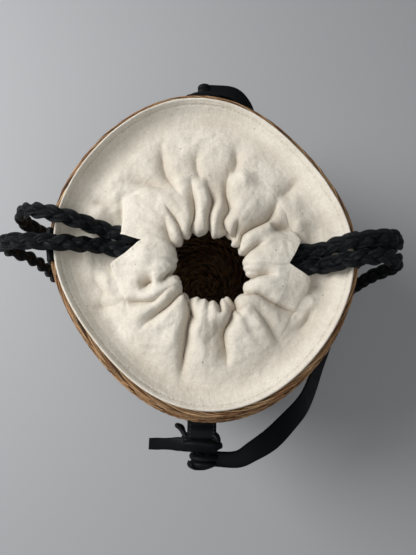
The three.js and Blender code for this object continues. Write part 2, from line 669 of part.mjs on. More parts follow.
add('basket_wall', basketWall(), straw);
add('basket_base', basketBase(), straw);
add('rim_border', rimBorder(), straw);
add('canvas_facing', canvasFacing(), canvas);
for (const half of ['front', 'rear']) {
  add(`collar_${half}`, collar(half), canvas);
  add(`casing_${half}`, casing(half), canvas);
  add(`drawcord_run_${half}`, drawcordRun(half), cordLeather);
}
add('drawcord_loop_left', drawcordLoop(LOOP_LEFT), cordLeather);
add('drawcord_loop_right', drawcordLoop(LOOP_RIGHT), cordLeather);
for (const [side, angle] of Object.entries(GUARDS)) {
  add(`rim_guard_${side}`, rimGuard(angle), strapLeather);
}
add('strap_tab_front', strapTab(), strapLeather);
add('strap_tab_rear', mirrored(strapTab()), strapLeather);
add('tab_patch_front', tabPatch(FRONT, slotCutter), strapLeather);
add('tab_patch_rear', tabPatch(-FRONT, mirrored(slotCutter)), strapLeather);
add('strap_knot_front', strapKnot(false), strapLeather);
add('strap_knot_rear', mirrored(strapKnot(true)), strapLeather);
add('shoulder_strap', shoulderStrap(), strapLeather);

export default bag;
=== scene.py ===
# Straw bucket bag: woven basket, gathered canvas closure, braided leather drawcords and a
# knotted leather shoulder strap. Shapes are worked out in millimetres and made in metres.
import math
import random

import bpy
import numpy as np
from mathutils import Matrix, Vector
from mathutils import noise


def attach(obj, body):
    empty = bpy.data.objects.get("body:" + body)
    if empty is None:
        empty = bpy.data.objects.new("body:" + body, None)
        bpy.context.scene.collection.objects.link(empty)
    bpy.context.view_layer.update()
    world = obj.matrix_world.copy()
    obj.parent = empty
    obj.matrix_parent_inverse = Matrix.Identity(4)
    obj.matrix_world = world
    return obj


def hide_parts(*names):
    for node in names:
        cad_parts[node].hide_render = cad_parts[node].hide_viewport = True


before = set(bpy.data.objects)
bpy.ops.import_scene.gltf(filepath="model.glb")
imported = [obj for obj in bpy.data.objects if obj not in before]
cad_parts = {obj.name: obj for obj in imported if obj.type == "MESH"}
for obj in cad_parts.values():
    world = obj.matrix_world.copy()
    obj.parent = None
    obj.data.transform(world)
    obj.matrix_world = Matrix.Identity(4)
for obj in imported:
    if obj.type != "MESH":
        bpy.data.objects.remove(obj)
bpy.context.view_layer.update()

MM = 0.001
TAU = 2 * math.pi

# Shared sizes, as in the part's source
RIM_HEIGHT = 230.0
MOUTH_RADIUS = 121.0
BELLY_RADIUS = 140.0
BELLY_HEIGHT = 130.0
BASE_RADIUS = 104.0
HEEL_ROUND = 20.0
SHOULDER_ROUND = 13.0
WALL = 4.5
MOUTH_OVAL = 6.1
OVAL_DIRECTION = math.radians(113.5)
MOUTH_SQUARENESS = 2.9
ROUND_BELOW = 0.6
BORDER_TOP = 234.3
CLOSURE = (6.2, -15.6)
CORD_PLANE = 226.0
HEM_RADIUS = 83.0
NOTCHES = {"left": 165.0, "right": 4.0}
CORD_DIAMETER = 12.0
CORD_RING_RADIUS = 39.0
CORD_TURN_RADIUS = 20.0
TAB_HEIGHT = 175.0
TAB_WIDTH = 25.0
TAB_REACH = 16.5
TAB_LEATHER = 2.0
TAB_OFFSET = -1.5
STRAP_WIDTH = 19.0
STRAP_THICKNESS = 3.0
STRAP_NECK = 12.0
STRAP_FLOOR_GAP = 0.6
KNOT_BAND = 6.0
CLEAR = 0.3


# Small helpers for numbers and points

def smoothstep(value, low, high):
    t = np.clip((np.asarray(value, float) - low) / (high - low), 0.0, 1.0)
    return t * t * (3.0 - 2.0 * t)


def mix(a, b, t):
    return a + (b - a) * t


def unit(rows):
    rows = np.asarray(rows, float)
    return rows / np.maximum(np.linalg.norm(rows, axis=-1, keepdims=True), 1e-12)


def turn_gap(angle, middle):
    """The signed angle from middle to angle, between minus and plus half a turn."""
    return (np.asarray(angle) - middle + math.pi) % TAU - math.pi


def smooth_line(points, count):
    """count points evenly along a centripetal Catmull-Rom line through points."""
    p = np.asarray(points, float)
    p = np.vstack([2 * p[0] - p[1], p, 2 * p[-1] - p[-2]])
    fine = []
    for i in range(1, len(p) - 2):
        a, b, c, d = p[i - 1:i + 3]
        t1 = max(np.linalg.norm(b - a) ** 0.5, 1e-6)
        t2 = t1 + max(np.linalg.norm(c - b) ** 0.5, 1e-6)
        t3 = t2 + max(np.linalg.norm(d - c) ** 0.5, 1e-6)
        for t in np.linspace(t1, t2, 24, endpoint=False):
            ab = a + (b - a) * (t / t1)
            bc = b + (c - b) * ((t - t1) / (t2 - t1))
            cd = c + (d - c) * ((t - t2) / (t3 - t2))
            abc = ab + (bc - ab) * (t / t2)
            bcd = bc + (cd - bc) * ((t - t1) / (t3 - t1))
            fine.append(abc + (bcd - abc) * ((t - t1) / (t2 - t1)))
    fine.append(p[-2])
    return evenly(np.array(fine), count)


def lengths_along(line):
    return np.concatenate([[0], np.cumsum(np.linalg.norm(np.diff(line, axis=0), axis=1))])


def evenly(line, count):
    """The same line of points taken again at count even steps."""
    long = lengths_along(line)
    at = np.linspace(0, long[-1], count)
    return np.stack([np.interp(at, long, line[:, k]) for k in range(line.shape[1])], axis=1)


def every(vector, count):
    """The same vector for each of count points."""
    return np.tile(vector, (count, 1))


def polar(radius, angle, z):
    """Points at a radius and an angle about the Z axis and at height z."""
    return np.stack(np.broadcast_arrays(radius * np.cos(angle), radius * np.sin(angle), z),
                    axis=-1).astype(float)


# Basket shape

def bezier(points, t):
    a, b, c, d = (np.array(p) for p in points)
    t = np.asarray(t)[:, None]
    return (1 - t) ** 3 * a + 3 * (1 - t) ** 2 * t * b + 3 * (1 - t) * t * t * c + t ** 3 * d


def basket_profile():
    """The outside of the wall from the base's edge to the rim, as [radius, height] rows."""
    t = np.linspace(0, 1, 120)
    lower = bezier([(BASE_RADIUS, 0), (BASE_RADIUS + HEEL_ROUND, 0),
                    (BELLY_RADIUS, BELLY_HEIGHT / 2), (BELLY_RADIUS, BELLY_HEIGHT)], t)
    upper = bezier([(BELLY_RADIUS, BELLY_HEIGHT),
                    (BELLY_RADIUS, mix(BELLY_HEIGHT, RIM_HEIGHT, 0.4)),
                    (MOUTH_RADIUS + SHOULDER_ROUND, mix(BELLY_HEIGHT, RIM_HEIGHT, 0.75)),
                    (MOUTH_RADIUS, RIM_HEIGHT)], t)
    return np.vstack([lower, upper[1:]])


PROFILE = basket_profile()


def wall_radius(z):
    return np.interp(z, PROFILE[:, 1], PROFILE[:, 0])


def out_of_round(angle, z):
    share = smoothstep(z, 0, RIM_HEIGHT * ROUND_BELOW)
    oval = MOUTH_OVAL * np.cos(2 * (np.asarray(angle) - OVAL_DIRECTION))
    return share * (oval + MOUTH_SQUARENESS * np.cos(4 * np.asarray(angle)))


FRONT = -math.pi / 2
WALL_FACE = float(wall_radius(TAB_HEIGHT) + out_of_round(FRONT, TAB_HEIGHT))


# Objects and meshes

def new_object(name, data):
    piece = bpy.data.objects.new(name, data)
    bpy.context.scene.collection.objects.link(piece)
    return piece


def mesh_from(name, points, faces, uv=None, smooth=True):
    """A mesh of millimetre points; uv holds one pair of values for each point."""
    mesh = bpy.data.meshes.new(name)
    mesh.from_pydata((np.asarray(points) * MM).tolist(), [], faces)
    if smooth:
        mesh.shade_smooth()
    if uv is not None:
        layer = mesh.uv_layers.new(name="cloth")
        corner = np.empty(len(mesh.loops), np.int32)
        mesh.loops.foreach_get("vertex_index", corner)
        layer.data.foreach_set("uv", np.asarray(uv, np.float32)[corner].ravel())
    mesh.validate()
    mesh.update()
    return mesh


def grid_faces(rows, columns, closed=False):
    """Four-sided faces between rows of points laid out row by row."""
    faces = []
    span = columns if closed else columns - 1
    for i in range(rows - 1):
        for j in range(span):
            k = (j + 1) % columns
            faces.append((i * columns + j, i * columns + k,
                          (i + 1) * columns + k, (i + 1) * columns + j))
    return faces


def settle(piece):
    """Applies the piece's modifiers to its mesh."""
    graph = bpy.context.evaluated_depsgraph_get()
    mesh = bpy.data.meshes.new_from_object(
        piece.evaluated_get(graph), preserve_all_data_layers=True, depsgraph=graph)
    mesh.name = piece.name
    piece.modifiers.clear()
    piece.data = mesh
    return piece


def thicken(piece, thickness):
    """Gives a sheet its thickness, half to each side."""
    solid = piece.modifiers.new("cloth_thickness", "SOLIDIFY")
    solid.thickness = thickness * MM
    solid.offset = 0.0
    solid.use_even_offset = False
    solid.use_rim = True
    return settle(piece)


def dress(piece, body, slot, *replaced, material=None):
    """Puts a piece on its body, with its material, and hides the CAD nodes it stands for. slot
    is not used.
    """
    if material is not None:
        piece.data.materials.clear()
        piece.data.materials.append(material)
    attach(piece, body)
    if replaced:
        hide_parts(*replaced)
    return piece


# Node trees

def feed(tree, node, key, value):
    """Links or sets an input, given by its place or by its name with _ for each space."""
    socket = node.inputs[key.replace("_", " ") if isinstance(key, str) else key]
    if isinstance(value, bpy.types.NodeSocket):
        tree.links.new(value, socket)
    else:
        socket.default_value = value


def feed_all(tree, node, *values, **named_values):
    for key, value in (*enumerate(values), *named_values.items()):
        feed(tree, node, key, value)
    return node


def add_node(tree, kind, settings=None, *values, **named_values):
    """A node with its settings, and its inputs linked or set in order or by name."""
    node = tree.nodes.new(kind)
    for key, value in (settings or {}).items():
        setattr(node, key, value)
    return feed_all(tree, node, *values, **named_values)


def maths(tree, operation, *values):
    return add_node(tree, "ShaderNodeMath", {"operation": operation}, *values).outputs[0]


def times(tree, first, second):
    return maths(tree, "MULTIPLY", first, second)


def vector_maths(tree, operation, *values, **named_values):
    node = add_node(tree, "ShaderNodeVectorMath", {"operation": operation}, *values,
                    **named_values)
    return node.outputs["Value" if operation == "LENGTH" else "Vector"]


def scaled(tree, vector, amount):
    return vector_maths(tree, "SCALE", vector, Scale=amount)


def combined(tree, *values):
    return add_node(tree, "ShaderNodeCombineXYZ", None, *values).outputs[0]


def named(tree, name, kind="FLOAT"):
    return add_node(tree, "GeometryNodeInputNamedAttribute", {"data_type": kind},
                    Name=name).outputs["Attribute"]


def node_group(name, kind, inputs, outputs):
    """An empty group: the group, what it is given and where its results go. Each input is
    (name, socket kind, value), and each output (name, socket kind)."""
    group = bpy.data.node_groups.new(name, kind)
    for way, sockets in (("INPUT", inputs), ("OUTPUT", outputs)):
        for label, socket_kind, *value in sockets:
            socket = group.interface.new_socket(label, in_out=way,
                                                socket_type="NodeSocket" + socket_kind)
            if value:
                socket.default_value = value[0]
    source, target = group.nodes.new("NodeGroupInput"), group.nodes.new("NodeGroupOutput")
    return group, source.outputs, target


def geometry_tree(name, inputs):
    return node_group(name, "GeometryNodeTree",
                      [("Geometry", "Geometry"), *inputs, ("Material", "Material")],
                      [("Geometry", "Geometry")])


def then(tree, geometry, kind, settings=None, **named_values):
    """The next geometry node of a chain."""
    return add_node(tree, "GeometryNode" + kind, settings, geometry, **named_values).outputs[0]


def store(tree, geometry, name, value, domain="POINT"):
    return then(tree, geometry, "StoreNamedAttribute",
                {"data_type": "FLOAT", "domain": domain}, Name=name, Value=value)


def end_tree(tree, geometry, given, out):
    """Ends a tree with real, smoothly shaded geometry in the given material."""
    geometry = then(tree, then(tree, geometry, "RealizeInstances"), "SetShadeSmooth")
    feed(tree, out, "Geometry", then(tree, geometry, "SetMaterial", Material=given["Material"]))
    return tree


# The trees' inputs that are lengths; pieces give them in millimetres
LENGTH_INPUTS = {"Side Reach", "Lift Reach", "Strand Width", "Strand Thickness", "Unevenness",
                 "Lump Size", "Pitch", "Stitch Length", "Thread"}


def run_tree(name, lines, tree, values):
    """A piece made by a Geometry Nodes tree on guide lines, as a plain mesh."""
    piece = new_object(name, guide_mesh(name, lines))
    modifier = piece.modifiers.new(tree.name, "NODES")
    modifier.node_group = tree
    for item in tree.interface.items_tree:
        key = item.name.replace(" ", "_")
        if item.item_type == "SOCKET" and item.in_out == "INPUT" and key in values:
            value = values[key]
            modifier[item.identifier] = value * MM if item.name in LENGTH_INPUTS else value
    return settle(piece)


def wound_strands_tree():
    """Strands that wind or plait along guide lines. The guide's points carry side and lift,
    two directions across the line, and twist, the angle that winds the strands. Where side
    and lift are shorter than 1, the strands are that much thinner and closer together."""
    tree, given, out = geometry_tree("wound_strands", [
        ("Strands", "Int", 3), ("Side Reach", "Float", 0.001), ("Lift Reach", "Float", 0.001),
        ("Lift Turns", "Float", 1.0), ("Lift Lead", "Float", 0.0),
        ("Strand Width", "Float", 0.004), ("Strand Thickness", "Float", 0.003),
        ("Section Sides", "Int", 6), ("Unevenness", "Float", 0.0),
        ("Lump Size", "Float", 0.02), ("Seed", "Int", 1),
    ])
    side, lift = named(tree, "side", "FLOAT_VECTOR"), named(tree, "lift", "FLOAT_VECTOR")
    spline = add_node(tree, "GeometryNodeSplineParameter").outputs

    # each strand's start angle, and its path about the guide line
    copies = add_node(tree, "GeometryNodeDuplicateElements", {"domain": "SPLINE"},
                      then(tree, given["Geometry"], "MeshToCurve"), Amount=given["Strands"])
    share = maths(tree, "DIVIDE", copies.outputs["Duplicate Index"], given["Strands"])
    line = store(tree, copies.outputs[0], "lead", times(tree, share, TAU))
    angle = maths(tree, "ADD", named(tree, "twist"), named(tree, "lead"))
    lifted = maths(tree, "MULTIPLY_ADD", angle, given["Lift Turns"], given["Lift Lead"])
    sideways = times(tree, maths(tree, "SINE", angle), given["Side Reach"])
    upward = times(tree, maths(tree, "SINE", lifted), given["Lift Reach"])
    offset = vector_maths(tree, "ADD", scaled(tree, side, sideways), scaled(tree, lift, upward))

    # slow lumps that make the strands uneven
    lumps = add_node(tree, "ShaderNodeTexNoise", {"noise_dimensions": "4D"},
                     Vector=add_node(tree, "GeometryNodeInputPosition").outputs[0],
                     W=given["Seed"], Scale=maths(tree, "DIVIDE", 1.0, given["Lump Size"]),
                     Detail=1.0)
    centred = vector_maths(tree, "SUBTRACT", lumps.outputs["Color"], (0.5, 0.5, 0.5))
    wander = scaled(tree, centred, given["Unevenness"])
    line = then(tree, line, "SetPosition", Offset=vector_maths(tree, "ADD", offset, wander))

    # the strands' faces and sizes, and what their material reads
    line = then(tree, line, "SetCurveNormal", {"mode": "FREE"}, Normal=lift)
    line = then(tree, line, "SetCurveRadius", Radius=vector_maths(tree, "LENGTH", side))
    line = store(tree, line, "along", spline["Length"])
    shade = add_node(tree, "FunctionNodeRandomValue", {"data_type": "FLOAT"},
                     Seed=given["Seed"])
    line = store(tree, line, "tint", shade.outputs[1], "CURVE")

    ring = add_node(tree, "GeometryNodeCurvePrimitiveCircle", {"mode": "RADIUS"},
                    Resolution=given["Section Sides"], Radius=0.5)
    section = then(tree, ring.outputs[0], "Transform", Scale=combined(
        tree, given["Strand Thickness"], given["Strand Width"], 1.0))
    section = store(tree, section, "around", spline["Factor"])
    tube = then(tree, line, "CurveToMesh", Profile_Curve=section, Fill_Caps=True)
    return end_tree(tree, tube, given, out)


def guide_mesh(name, lines):
    """Guide lines as a mesh of edges. Each line is (points, side, lift, twist, closed)."""
    points, edges = [], []
    for line, _, _, _, closed in lines:
        first = sum(len(p) for p in points)
        points.append(line)
        edges += [(first + i, first + i + 1) for i in range(len(line) - 1)]
        if closed:
            edges.append((first + len(line) - 1, first))
    mesh = bpy.data.meshes.new(name)
    mesh.from_pydata((np.vstack(points) * MM).tolist(), edges, [])
    for key, column in (("side", 1), ("lift", 2)):
        layer = mesh.attributes.new(key, "FLOAT_VECTOR", "POINT")
        layer.data.foreach_set(
            "vector", np.vstack([line[column] for line in lines]).astype(np.float32).ravel())
    layer = mesh.attributes.new("twist", "FLOAT", "POINT")
    layer.data.foreach_set(
        "value", np.concatenate([line[3] for line in lines]).astype(np.float32))
    return mesh


# Camera. The focal length and the tilt of 10 degrees off straight down are assumed, and the
# height is set so that the mouth fills the photograph's outline at the size chosen for it.

IMAGE_SIZE = (416, 555)
FOCAL_PIXELS = 417.0
SENSOR = 36.0
camera_data = bpy.data.cameras.new("camera")
camera_data.sensor_width = SENSOR
camera_data.lens = SENSOR * FOCAL_PIXELS / max(IMAGE_SIZE)
camera_data.clip_start = 0.01
camera = new_object("camera", camera_data)
camera.location = (0.0038, -0.0825, 0.5525)
camera.rotation_euler = (math.radians(10), 0, 0)
bpy.context.scene.camera = camera


# Materials

def surface_material(name):
    """A material with its Principled shader; returns the material, its tree and the shader."""
    material = bpy.data.materials.new(name)
    material.use_nodes = True
    tree = material.node_tree
    return material, tree, tree.nodes["Principled BSDF"]


def use_group(tree, group, **values):
    return add_node(tree, "ShaderNodeGroup", {"node_tree": group}, **values).outputs


def noise_texture(tree, where, scale, detail, roughness=0.55, **fourth):
    node = add_node(tree, "ShaderNodeTexNoise", {"noise_dimensions": "4D" if fourth else "3D"},
                    Vector=where, Scale=scale, Detail=detail, Roughness=roughness, **fourth)
    return node.outputs[0]


def remap(tree, value, from_low, from_high, to_low=0.0, to_high=1.0):
    return add_node(tree, "ShaderNodeMapRange", None, value, from_low, from_high, to_low,
                    to_high).outputs[0]


# A Mix node's sockets for its factor, its two values and its result
MIX_SOCKETS = {"FLOAT": ((0, 2, 3), 0), "RGBA": ((0, 6, 7), 2)}


def blend(tree, kind, factor, first, second):
    node = add_node(tree, "ShaderNodeMix", {"data_type": kind})
    places, result = MIX_SOCKETS[kind]
    for place, value in zip(places, (factor, first, second)):
        feed(tree, node, place, value)
    return node.outputs[result]


def bump(tree, height, strength, distance, normal=None):
    node = add_node(tree, "ShaderNodeBump", Height=height, Strength=strength, Distance=distance)
    if normal is not None:
        feed(tree, node, "Normal", normal)
    return node.outputs[0]


def object_place(tree):
    return tree.nodes.new("ShaderNodeTexCoord").outputs["Object"]


def surface_value(tree, name):
    return add_node(tree, "ShaderNodeAttribute", {"attribute_name": name}).outputs["Fac"]


def fibre_group():
    """Fine lines that run along a strand, from its own along and around values."""
    group, given, out = node_group(
        "fibre_lines", "ShaderNodeTree",
        [("Along", "Float", 0.0), ("Around", "Float", 0.0), ("Tint", "Float", 0.0),
         ("Fineness", "Float", 1.7), ("Stretch", "Float", 30.0)],
        [("Lines", "Float"), ("Patches", "Float")])
    turn = times(group, given["Around"], TAU)
    across = [times(group, maths(group, way, turn), given["Fineness"])
              for way in ("COSINE", "SINE")]
    shift = times(group, given["Tint"], 57.0)
    where = combined(group, *across, times(group, given["Along"], given["Stretch"]))
    lines = noise_texture(group, where, 1.0, 4.0, 0.6, W=shift)
    spread = combined(group, given["Around"], times(group, given["Along"], 32.0), shift)
    patches = noise_texture(group, spread, 1.0, 2.0)
    feed_all(group, out, Lines=remap(group, lines, 0.38, 0.62),
             Patches=remap(group, patches, 0.36, 0.64))
    return group


def leather_group():
    """Creased black leather: its colour, its roughness and the height of its grain."""
    group, given, out = node_group(
        "creased_leather", "ShaderNodeTree",
        [("Place", "Vector", (0, 0, 0)), ("Grain Scale", "Float", 900.0),
         ("Crease Scale", "Float", 120.0), ("Dark", "Color", (0.008, 0.009, 0.011, 1)),
         ("Worn", "Color", (0.035, 0.039, 0.046, 1)), ("Wear", "Float", 0.3)],
        [("Colour", "Color"), ("Roughness", "Float"), ("Height", "Float")])
    pores = add_node(group, "ShaderNodeTexVoronoi", Vector=given["Place"],
                     Scale=given["Grain Scale"]).outputs["Distance"]
    creases = noise_texture(group, given["Place"], given["Crease Scale"], 5.0, 0.62)
    scuffs = noise_texture(group, given["Place"], 38.0, 4.0, 0.6)
    pointed = add_node(group, "ShaderNodeNewGeometry").outputs["Pointiness"]
    # lighter where scuffed and on sharp edges: worn leather, and a painted sheen on the edges
    wear_and_sheen = times(group, given["Wear"], maths(group, "ADD", remap(group, scuffs, 0.45, 0.75),
                                             remap(group, pointed, 0.5, 0.62)))
    feed_all(group, out,
             Colour=blend(group, "RGBA", maths(group, "MINIMUM", wear_and_sheen, 1.0), given["Dark"],
                          given["Worn"]),
             Roughness=remap(group, scuffs, 0.3, 0.75, 0.42, 0.62),
             Height=maths(group, "MULTIPLY_ADD", creases, 0.75, times(group, pores, 0.25)))
    return group


def weave_group():
    """Plain weave from a cloth's own UV values in millimetres, with slubs and dark flecks."""
    group, given, out = node_group(
        "plain_weave", "ShaderNodeTree",
        [("Cloth", "Vector", (0, 0, 0)), ("Place", "Vector", (0, 0, 0)),
         ("Yarn", "Float", 0.75), ("Fleck Size", "Float", 0.42)],
        [("Height", "Float"), ("Slubs", "Float"), ("Flecks", "Float")])
    split = add_node(group, "ShaderNodeSeparateXYZ", Vector=given["Cloth"]).outputs
    frequency = maths(group, "DIVIDE", math.pi, given["Yarn"])
    turns = [times(group, split[k], frequency) for k in (0, 1)]
    warp, weft = (maths(group, "ABSOLUTE", maths(group, "SINE", turn)) for turn in turns)
    over = times(group, *(maths(group, "COSINE", turn) for turn in turns))
    weave = blend(group, "FLOAT", maths(group, "GREATER_THAN", over, 0.0), warp, weft)
    threads = [noise_texture(group, vector_maths(group, "MULTIPLY", given["Cloth"], stretch),
                             1.4, 2.0) for stretch in ((0.9, 0.05, 1.0), (0.05, 0.9, 1.0))]
    cells = add_node(group, "ShaderNodeTexVoronoi", Vector=given["Place"], Scale=210.0).outputs
    chance = add_node(group, "ShaderNodeSeparateColor", Color=cells["Color"]).outputs
    reach = times(group, given["Fleck Size"], remap(group, chance[1], 0.0, 1.0, 0.25, 0.8))
    near = maths(group, "LESS_THAN", cells["Distance"], times(group, reach, 0.4))
    feed_all(group, out, Height=weave,
             Slubs=remap(group, maths(group, "ADD", *threads), 0.7, 1.3),
             Flecks=times(group, maths(group, "GREATER_THAN", chance[0], 0.94), near))
    return group


FIBRES = fibre_group()
LEATHER = leather_group()
WEAVE = weave_group()


def strand_lines(tree, **shape):
    """Fine lines along a strand, from the values that the strands' tree stored on it."""
    stored = {key.title(): surface_value(tree, key) for key in ("along", "around", "tint")}
    return use_group(tree, FIBRES, **stored, **shape)


def straw_material(name, dark, middle, light):
    """Dried grass stems: each strand its own tone, with fine lines along it."""
    material, tree, shader = surface_material(name)
    lines = strand_lines(tree)
    tone = maths(tree, "MULTIPLY_ADD", surface_value(tree, "tint"), 0.45,
                 times(tree, lines["Patches"], 0.55))
    ramp = add_node(tree, "ShaderNodeValToRGB", Fac=tone)
    ramp.color_ramp.elements.new(0.4)
    stops = zip(ramp.color_ramp.elements, (0.14, 0.4, 0.7), (dark, middle, light))
    for stop, position, colour in stops:
        stop.position = position
        stop.color = (*colour, 1)
    streaked = blend(tree, "RGBA", remap(tree, lines["Lines"], 0.08, 0.42, 0.95, 0.0),
                     ramp.outputs[0], (*[c * 0.3 for c in dark], 1))
    feed_all(tree, shader, Base_Color=streaked, Roughness=0.62, Specular_IOR_Level=0.35,
             Normal=bump(tree, lines["Lines"], 1.0, 0.0010))
    return material


CRUMPLE_SCALE = 170.0
SPECKLE_SCALE = 480.0
# Colour of the shade painted into the cloth's folds
PAINTED_FOLD_SHADE = (0.36, 0.28, 0.19)
FLECK_TONE = (0.10, 0.075, 0.045)


def canvas_material(name, light, shade):
    """Natural cotton canvas: plain weave, slubs, seed flecks, a soft uneven tone, and painted
    shade in the weave's hollows and in the cloth's folds.
    """
    material, tree, shader = surface_material(name)
    cloth = add_node(tree, "ShaderNodeUVMap", {"uv_map": "cloth"}).outputs[0]
    place = object_place(tree)
    weave = use_group(tree, WEAVE, Cloth=cloth, Place=place)
    tone = noise_texture(tree, place, 26.0, 4.0)
    speckle = noise_texture(tree, place, SPECKLE_SCALE, 2.0, 0.7)
    soft_shade, deep_shade = ([c * share for c in shade] for share in (0.72, 0.5))
    colour = (*shade, 1)
    for share, layer in [
        (remap(tree, tone, 0.35, 0.65), light),
        (remap(tree, weave["Slubs"], 0.0, 1.0, 0.22, 0.0), soft_shade),
        # painted shade in the hollows between the yarns, where the weave is low
        (remap(tree, weave["Height"], 0.0, 0.6, 0.14, 0.0), deep_shade),
        (times(tree, weave["Flecks"], 0.8), FLECK_TONE),
        (remap(tree, speckle, 0.4, 0.62, 0.0, 0.16), deep_shade),
        # painted shade: the folded value darkens the cloth deep in its folds, along the band's
        # stitch groove and at the band's foot
        (times(tree, surface_value(tree, "folded"), 0.6), PAINTED_FOLD_SHADE),
    ]:
        colour = blend(tree, "RGBA", share, colour, (*layer, 1))
    crumple = noise_texture(tree, place, CRUMPLE_SCALE, 4.0, 0.6)
    fine = bump(tree, crumple, 0.6, 0.0016)
    fine = bump(tree, weave["Height"], 0.35, 0.0002, fine)
    feed_all(tree, shader, Base_Color=colour, Roughness=0.92, Specular_IOR_Level=0.2,
             Sheen_Weight=0.12, Sheen_Roughness=0.6,
             Normal=bump(tree, weave["Slubs"], 0.35, 0.0003, fine))
    return material


def leather_material(name, dark, worn_and_sheen, grain, crease, wear_and_sheen, bump_strength, shine, pleats=0.0):
    """Black leather, lighter at scuffs and edges with wear and a painted sheen; pleats is the
    depth in metres of wrinkles that run along a strand.
    """
    material, tree, shader = surface_material(name)
    hide = use_group(tree, LEATHER, Place=object_place(tree), Grain_Scale=grain,
                     Crease_Scale=crease, Dark=(*dark, 1), Worn=(*worn_and_sheen, 1), Wear=wear_and_sheen)
    folded = None
    if pleats:
        lines = strand_lines(tree, Fineness=1.1, Stretch=90.0)
        folded = bump(tree, lines["Lines"], 1.0, pleats)
    feed_all(tree, shader, Base_Color=hide["Colour"], Roughness=hide["Roughness"],
             Specular_IOR_Level=shine,
             Normal=bump(tree, hide["Height"], bump_strength, 0.0006, folded))
    return material


STRAW = straw_material("dried_grass", (0.10, 0.042, 0.018), (0.58, 0.27, 0.105),
                       (1.0, 0.63, 0.33))
CANVAS_CLOTH = canvas_material("natural_canvas", (0.83, 0.775, 0.675), (0.70, 0.64, 0.54))
THREAD = canvas_material("canvas_thread", (0.90, 0.86, 0.78), (0.80, 0.75, 0.66))
CORD_LEATHER = leather_material("soft_braid_leather", (0.004, 0.0052, 0.0062),
                                (0.014, 0.017, 0.02), 1400.0, 260.0, 0.45, 0.55, 0.16,
                                0.0016)
STRAP_LEATHER = leather_material("strap_leather", (0.0025, 0.0028, 0.0034),
                                 (0.009, 0.010, 0.012), 1100.0, 140.0, 0.3, 0.4, 0.1)
LEATHER_THREAD = leather_material("leather_thread", (0.02, 0.022, 0.025),
                                  (0.05, 0.054, 0.06), 1100.0, 140.0, 0.5, 0.3, 0.3)

STRANDS = wound_strands_tree()


# Drawcords: two braided loops outside and their runs through the casing. The whole round is
# one line, so that the plait runs on from piece to piece.

PLAIT = {"Strands": 3, "Side_Reach": 3.2, "Lift_Reach": 1.9, "Lift_Turns": 2.0,
         "Lift_Lead": 0.0, "Strand_Width": 7.4, "Strand_Thickness": 4.8, "Section_Sides": 12,
         "Unevenness": 1.1, "Lump_Size": 9.0, "Material": CORD_LEATHER}
PLAIT_PERIOD = 42.0
LOOP_POINTS = 420
RUN_POINTS = 260
# Inside the casing a run is squeezed and lies lower, from this far in from its ends
RUN_SQUEEZE = 0.55
RUN_SINK = 2.2
RUN_BLEND = (16, 44)

LOOP_LEFT = [
    (-73.6, 12.3, 226), (-76.3, 13, 226), (-84, 15, 229.5), (-93, 17, 236),
    (-103, 19.3, 241.2), (-113, 21.6, 243.2), (-123, 24, 243), (-134, 26.5, 239.5),
    (-144, 28.3, 232), (-151.5, 29, 221), (-155, 28, 208), (-154, 26.5, 194),
    (-151, 25.5, 180), (-149.5, 24.5, 165), (-149, 23, 150), (-149, 20.5, 136),
    (-149, 15, 124), (-149, 6, 117), (-149, -3, 118.5), (-149, -9, 127),
    (-149.5, -9.5, 141), (-150, -6.5, 155), (-151.5, -3.5, 169), (-154.5, -1, 183),
    (-159.5, 1, 196), (-163.5, 2, 208), (-163.5, 2.5, 220.5), (-157.5, 2.3, 231.5),
    (-147, 1.5, 239.2), (-135, 0.5, 242.8), (-123, 0, 243.4), (-113, -0.4, 243),
    (-104, -0.4, 240.8), (-95, 0, 235.4), (-87, 0.6, 229.6), (-79.5, 0.8, 226),
    (-76.9, 0.1, 226),
]
LOOP_RIGHT = [
    (89.9, -3.4, 226), (92.4, -3.2, 226), (97, -2.6, 230.3), (102.7, -1.6, 237.5),
    (108.5, -0.6, 242.6), (116, 0.5, 244.3), (125, 2, 243.8), (135, 3.7, 241.2),
    (145, 5.5, 236), (154.5, 7, 228), (161.5, 7.2, 217), (165, 7.2, 204.5),
    (164.3, 8.5, 191), (160.5, 10, 177), (156, 11, 163), (152, 11.5, 149),
    (149.5, 10, 136), (148.5, 4.5, 124.5), (148, -4.5, 118.5), (148, -13.5, 121),
    (148, -19, 130), (148.5, -20, 144), (149.5, -18.5, 158), (151, -16.5, 172),
    (153.5, -15, 186), (157.5, -13.5, 199), (159.5, -12.5, 212), (156.5, -11.8, 224),
    (149, -11.3, 234), (139, -11.3, 240.3), (128, -12, 243.7), (117, -13.3, 244.3),
    (109, -14.4, 242.4), (103.5, -15.2, 237.6), (98, -15.6, 230.6), (93.4, -15.8, 226),
    (90.7, -16, 226),
]


def run_end(notch, side):
    """One end of a run in the casing: straight in from the notch, then onto the ring."""
    angle = math.radians(notch)
    out = np.array([math.cos(angle), math.sin(angle)])
    aside = np.array([-out[1], out[0]]) * side
    strand = CORD_DIAMETER / 2 + CLEAR
    turn_aside = strand + CORD_TURN_RADIUS
    turn_out = math.sqrt((CORD_RING_RADIUS + CORD_TURN_RADIUS) ** 2 - turn_aside ** 2)
    turn_angle = math.atan2(turn_out, turn_aside)
    rows = [(r, strand) for r in np.linspace(HEM_RADIUS + 1, turn_out + 4, 4)]
    rows += [(turn_out - CORD_TURN_RADIUS * math.sin(a),
              turn_aside - CORD_TURN_RADIUS * math.cos(a))
             for a in np.linspace(0, turn_angle, 5)]
    points = [np.append(np.array(CLOSURE) + out * o + aside * a, CORD_PLANE) for o, a in rows]
    return points, angle + side * (math.pi / 2 - turn_angle)


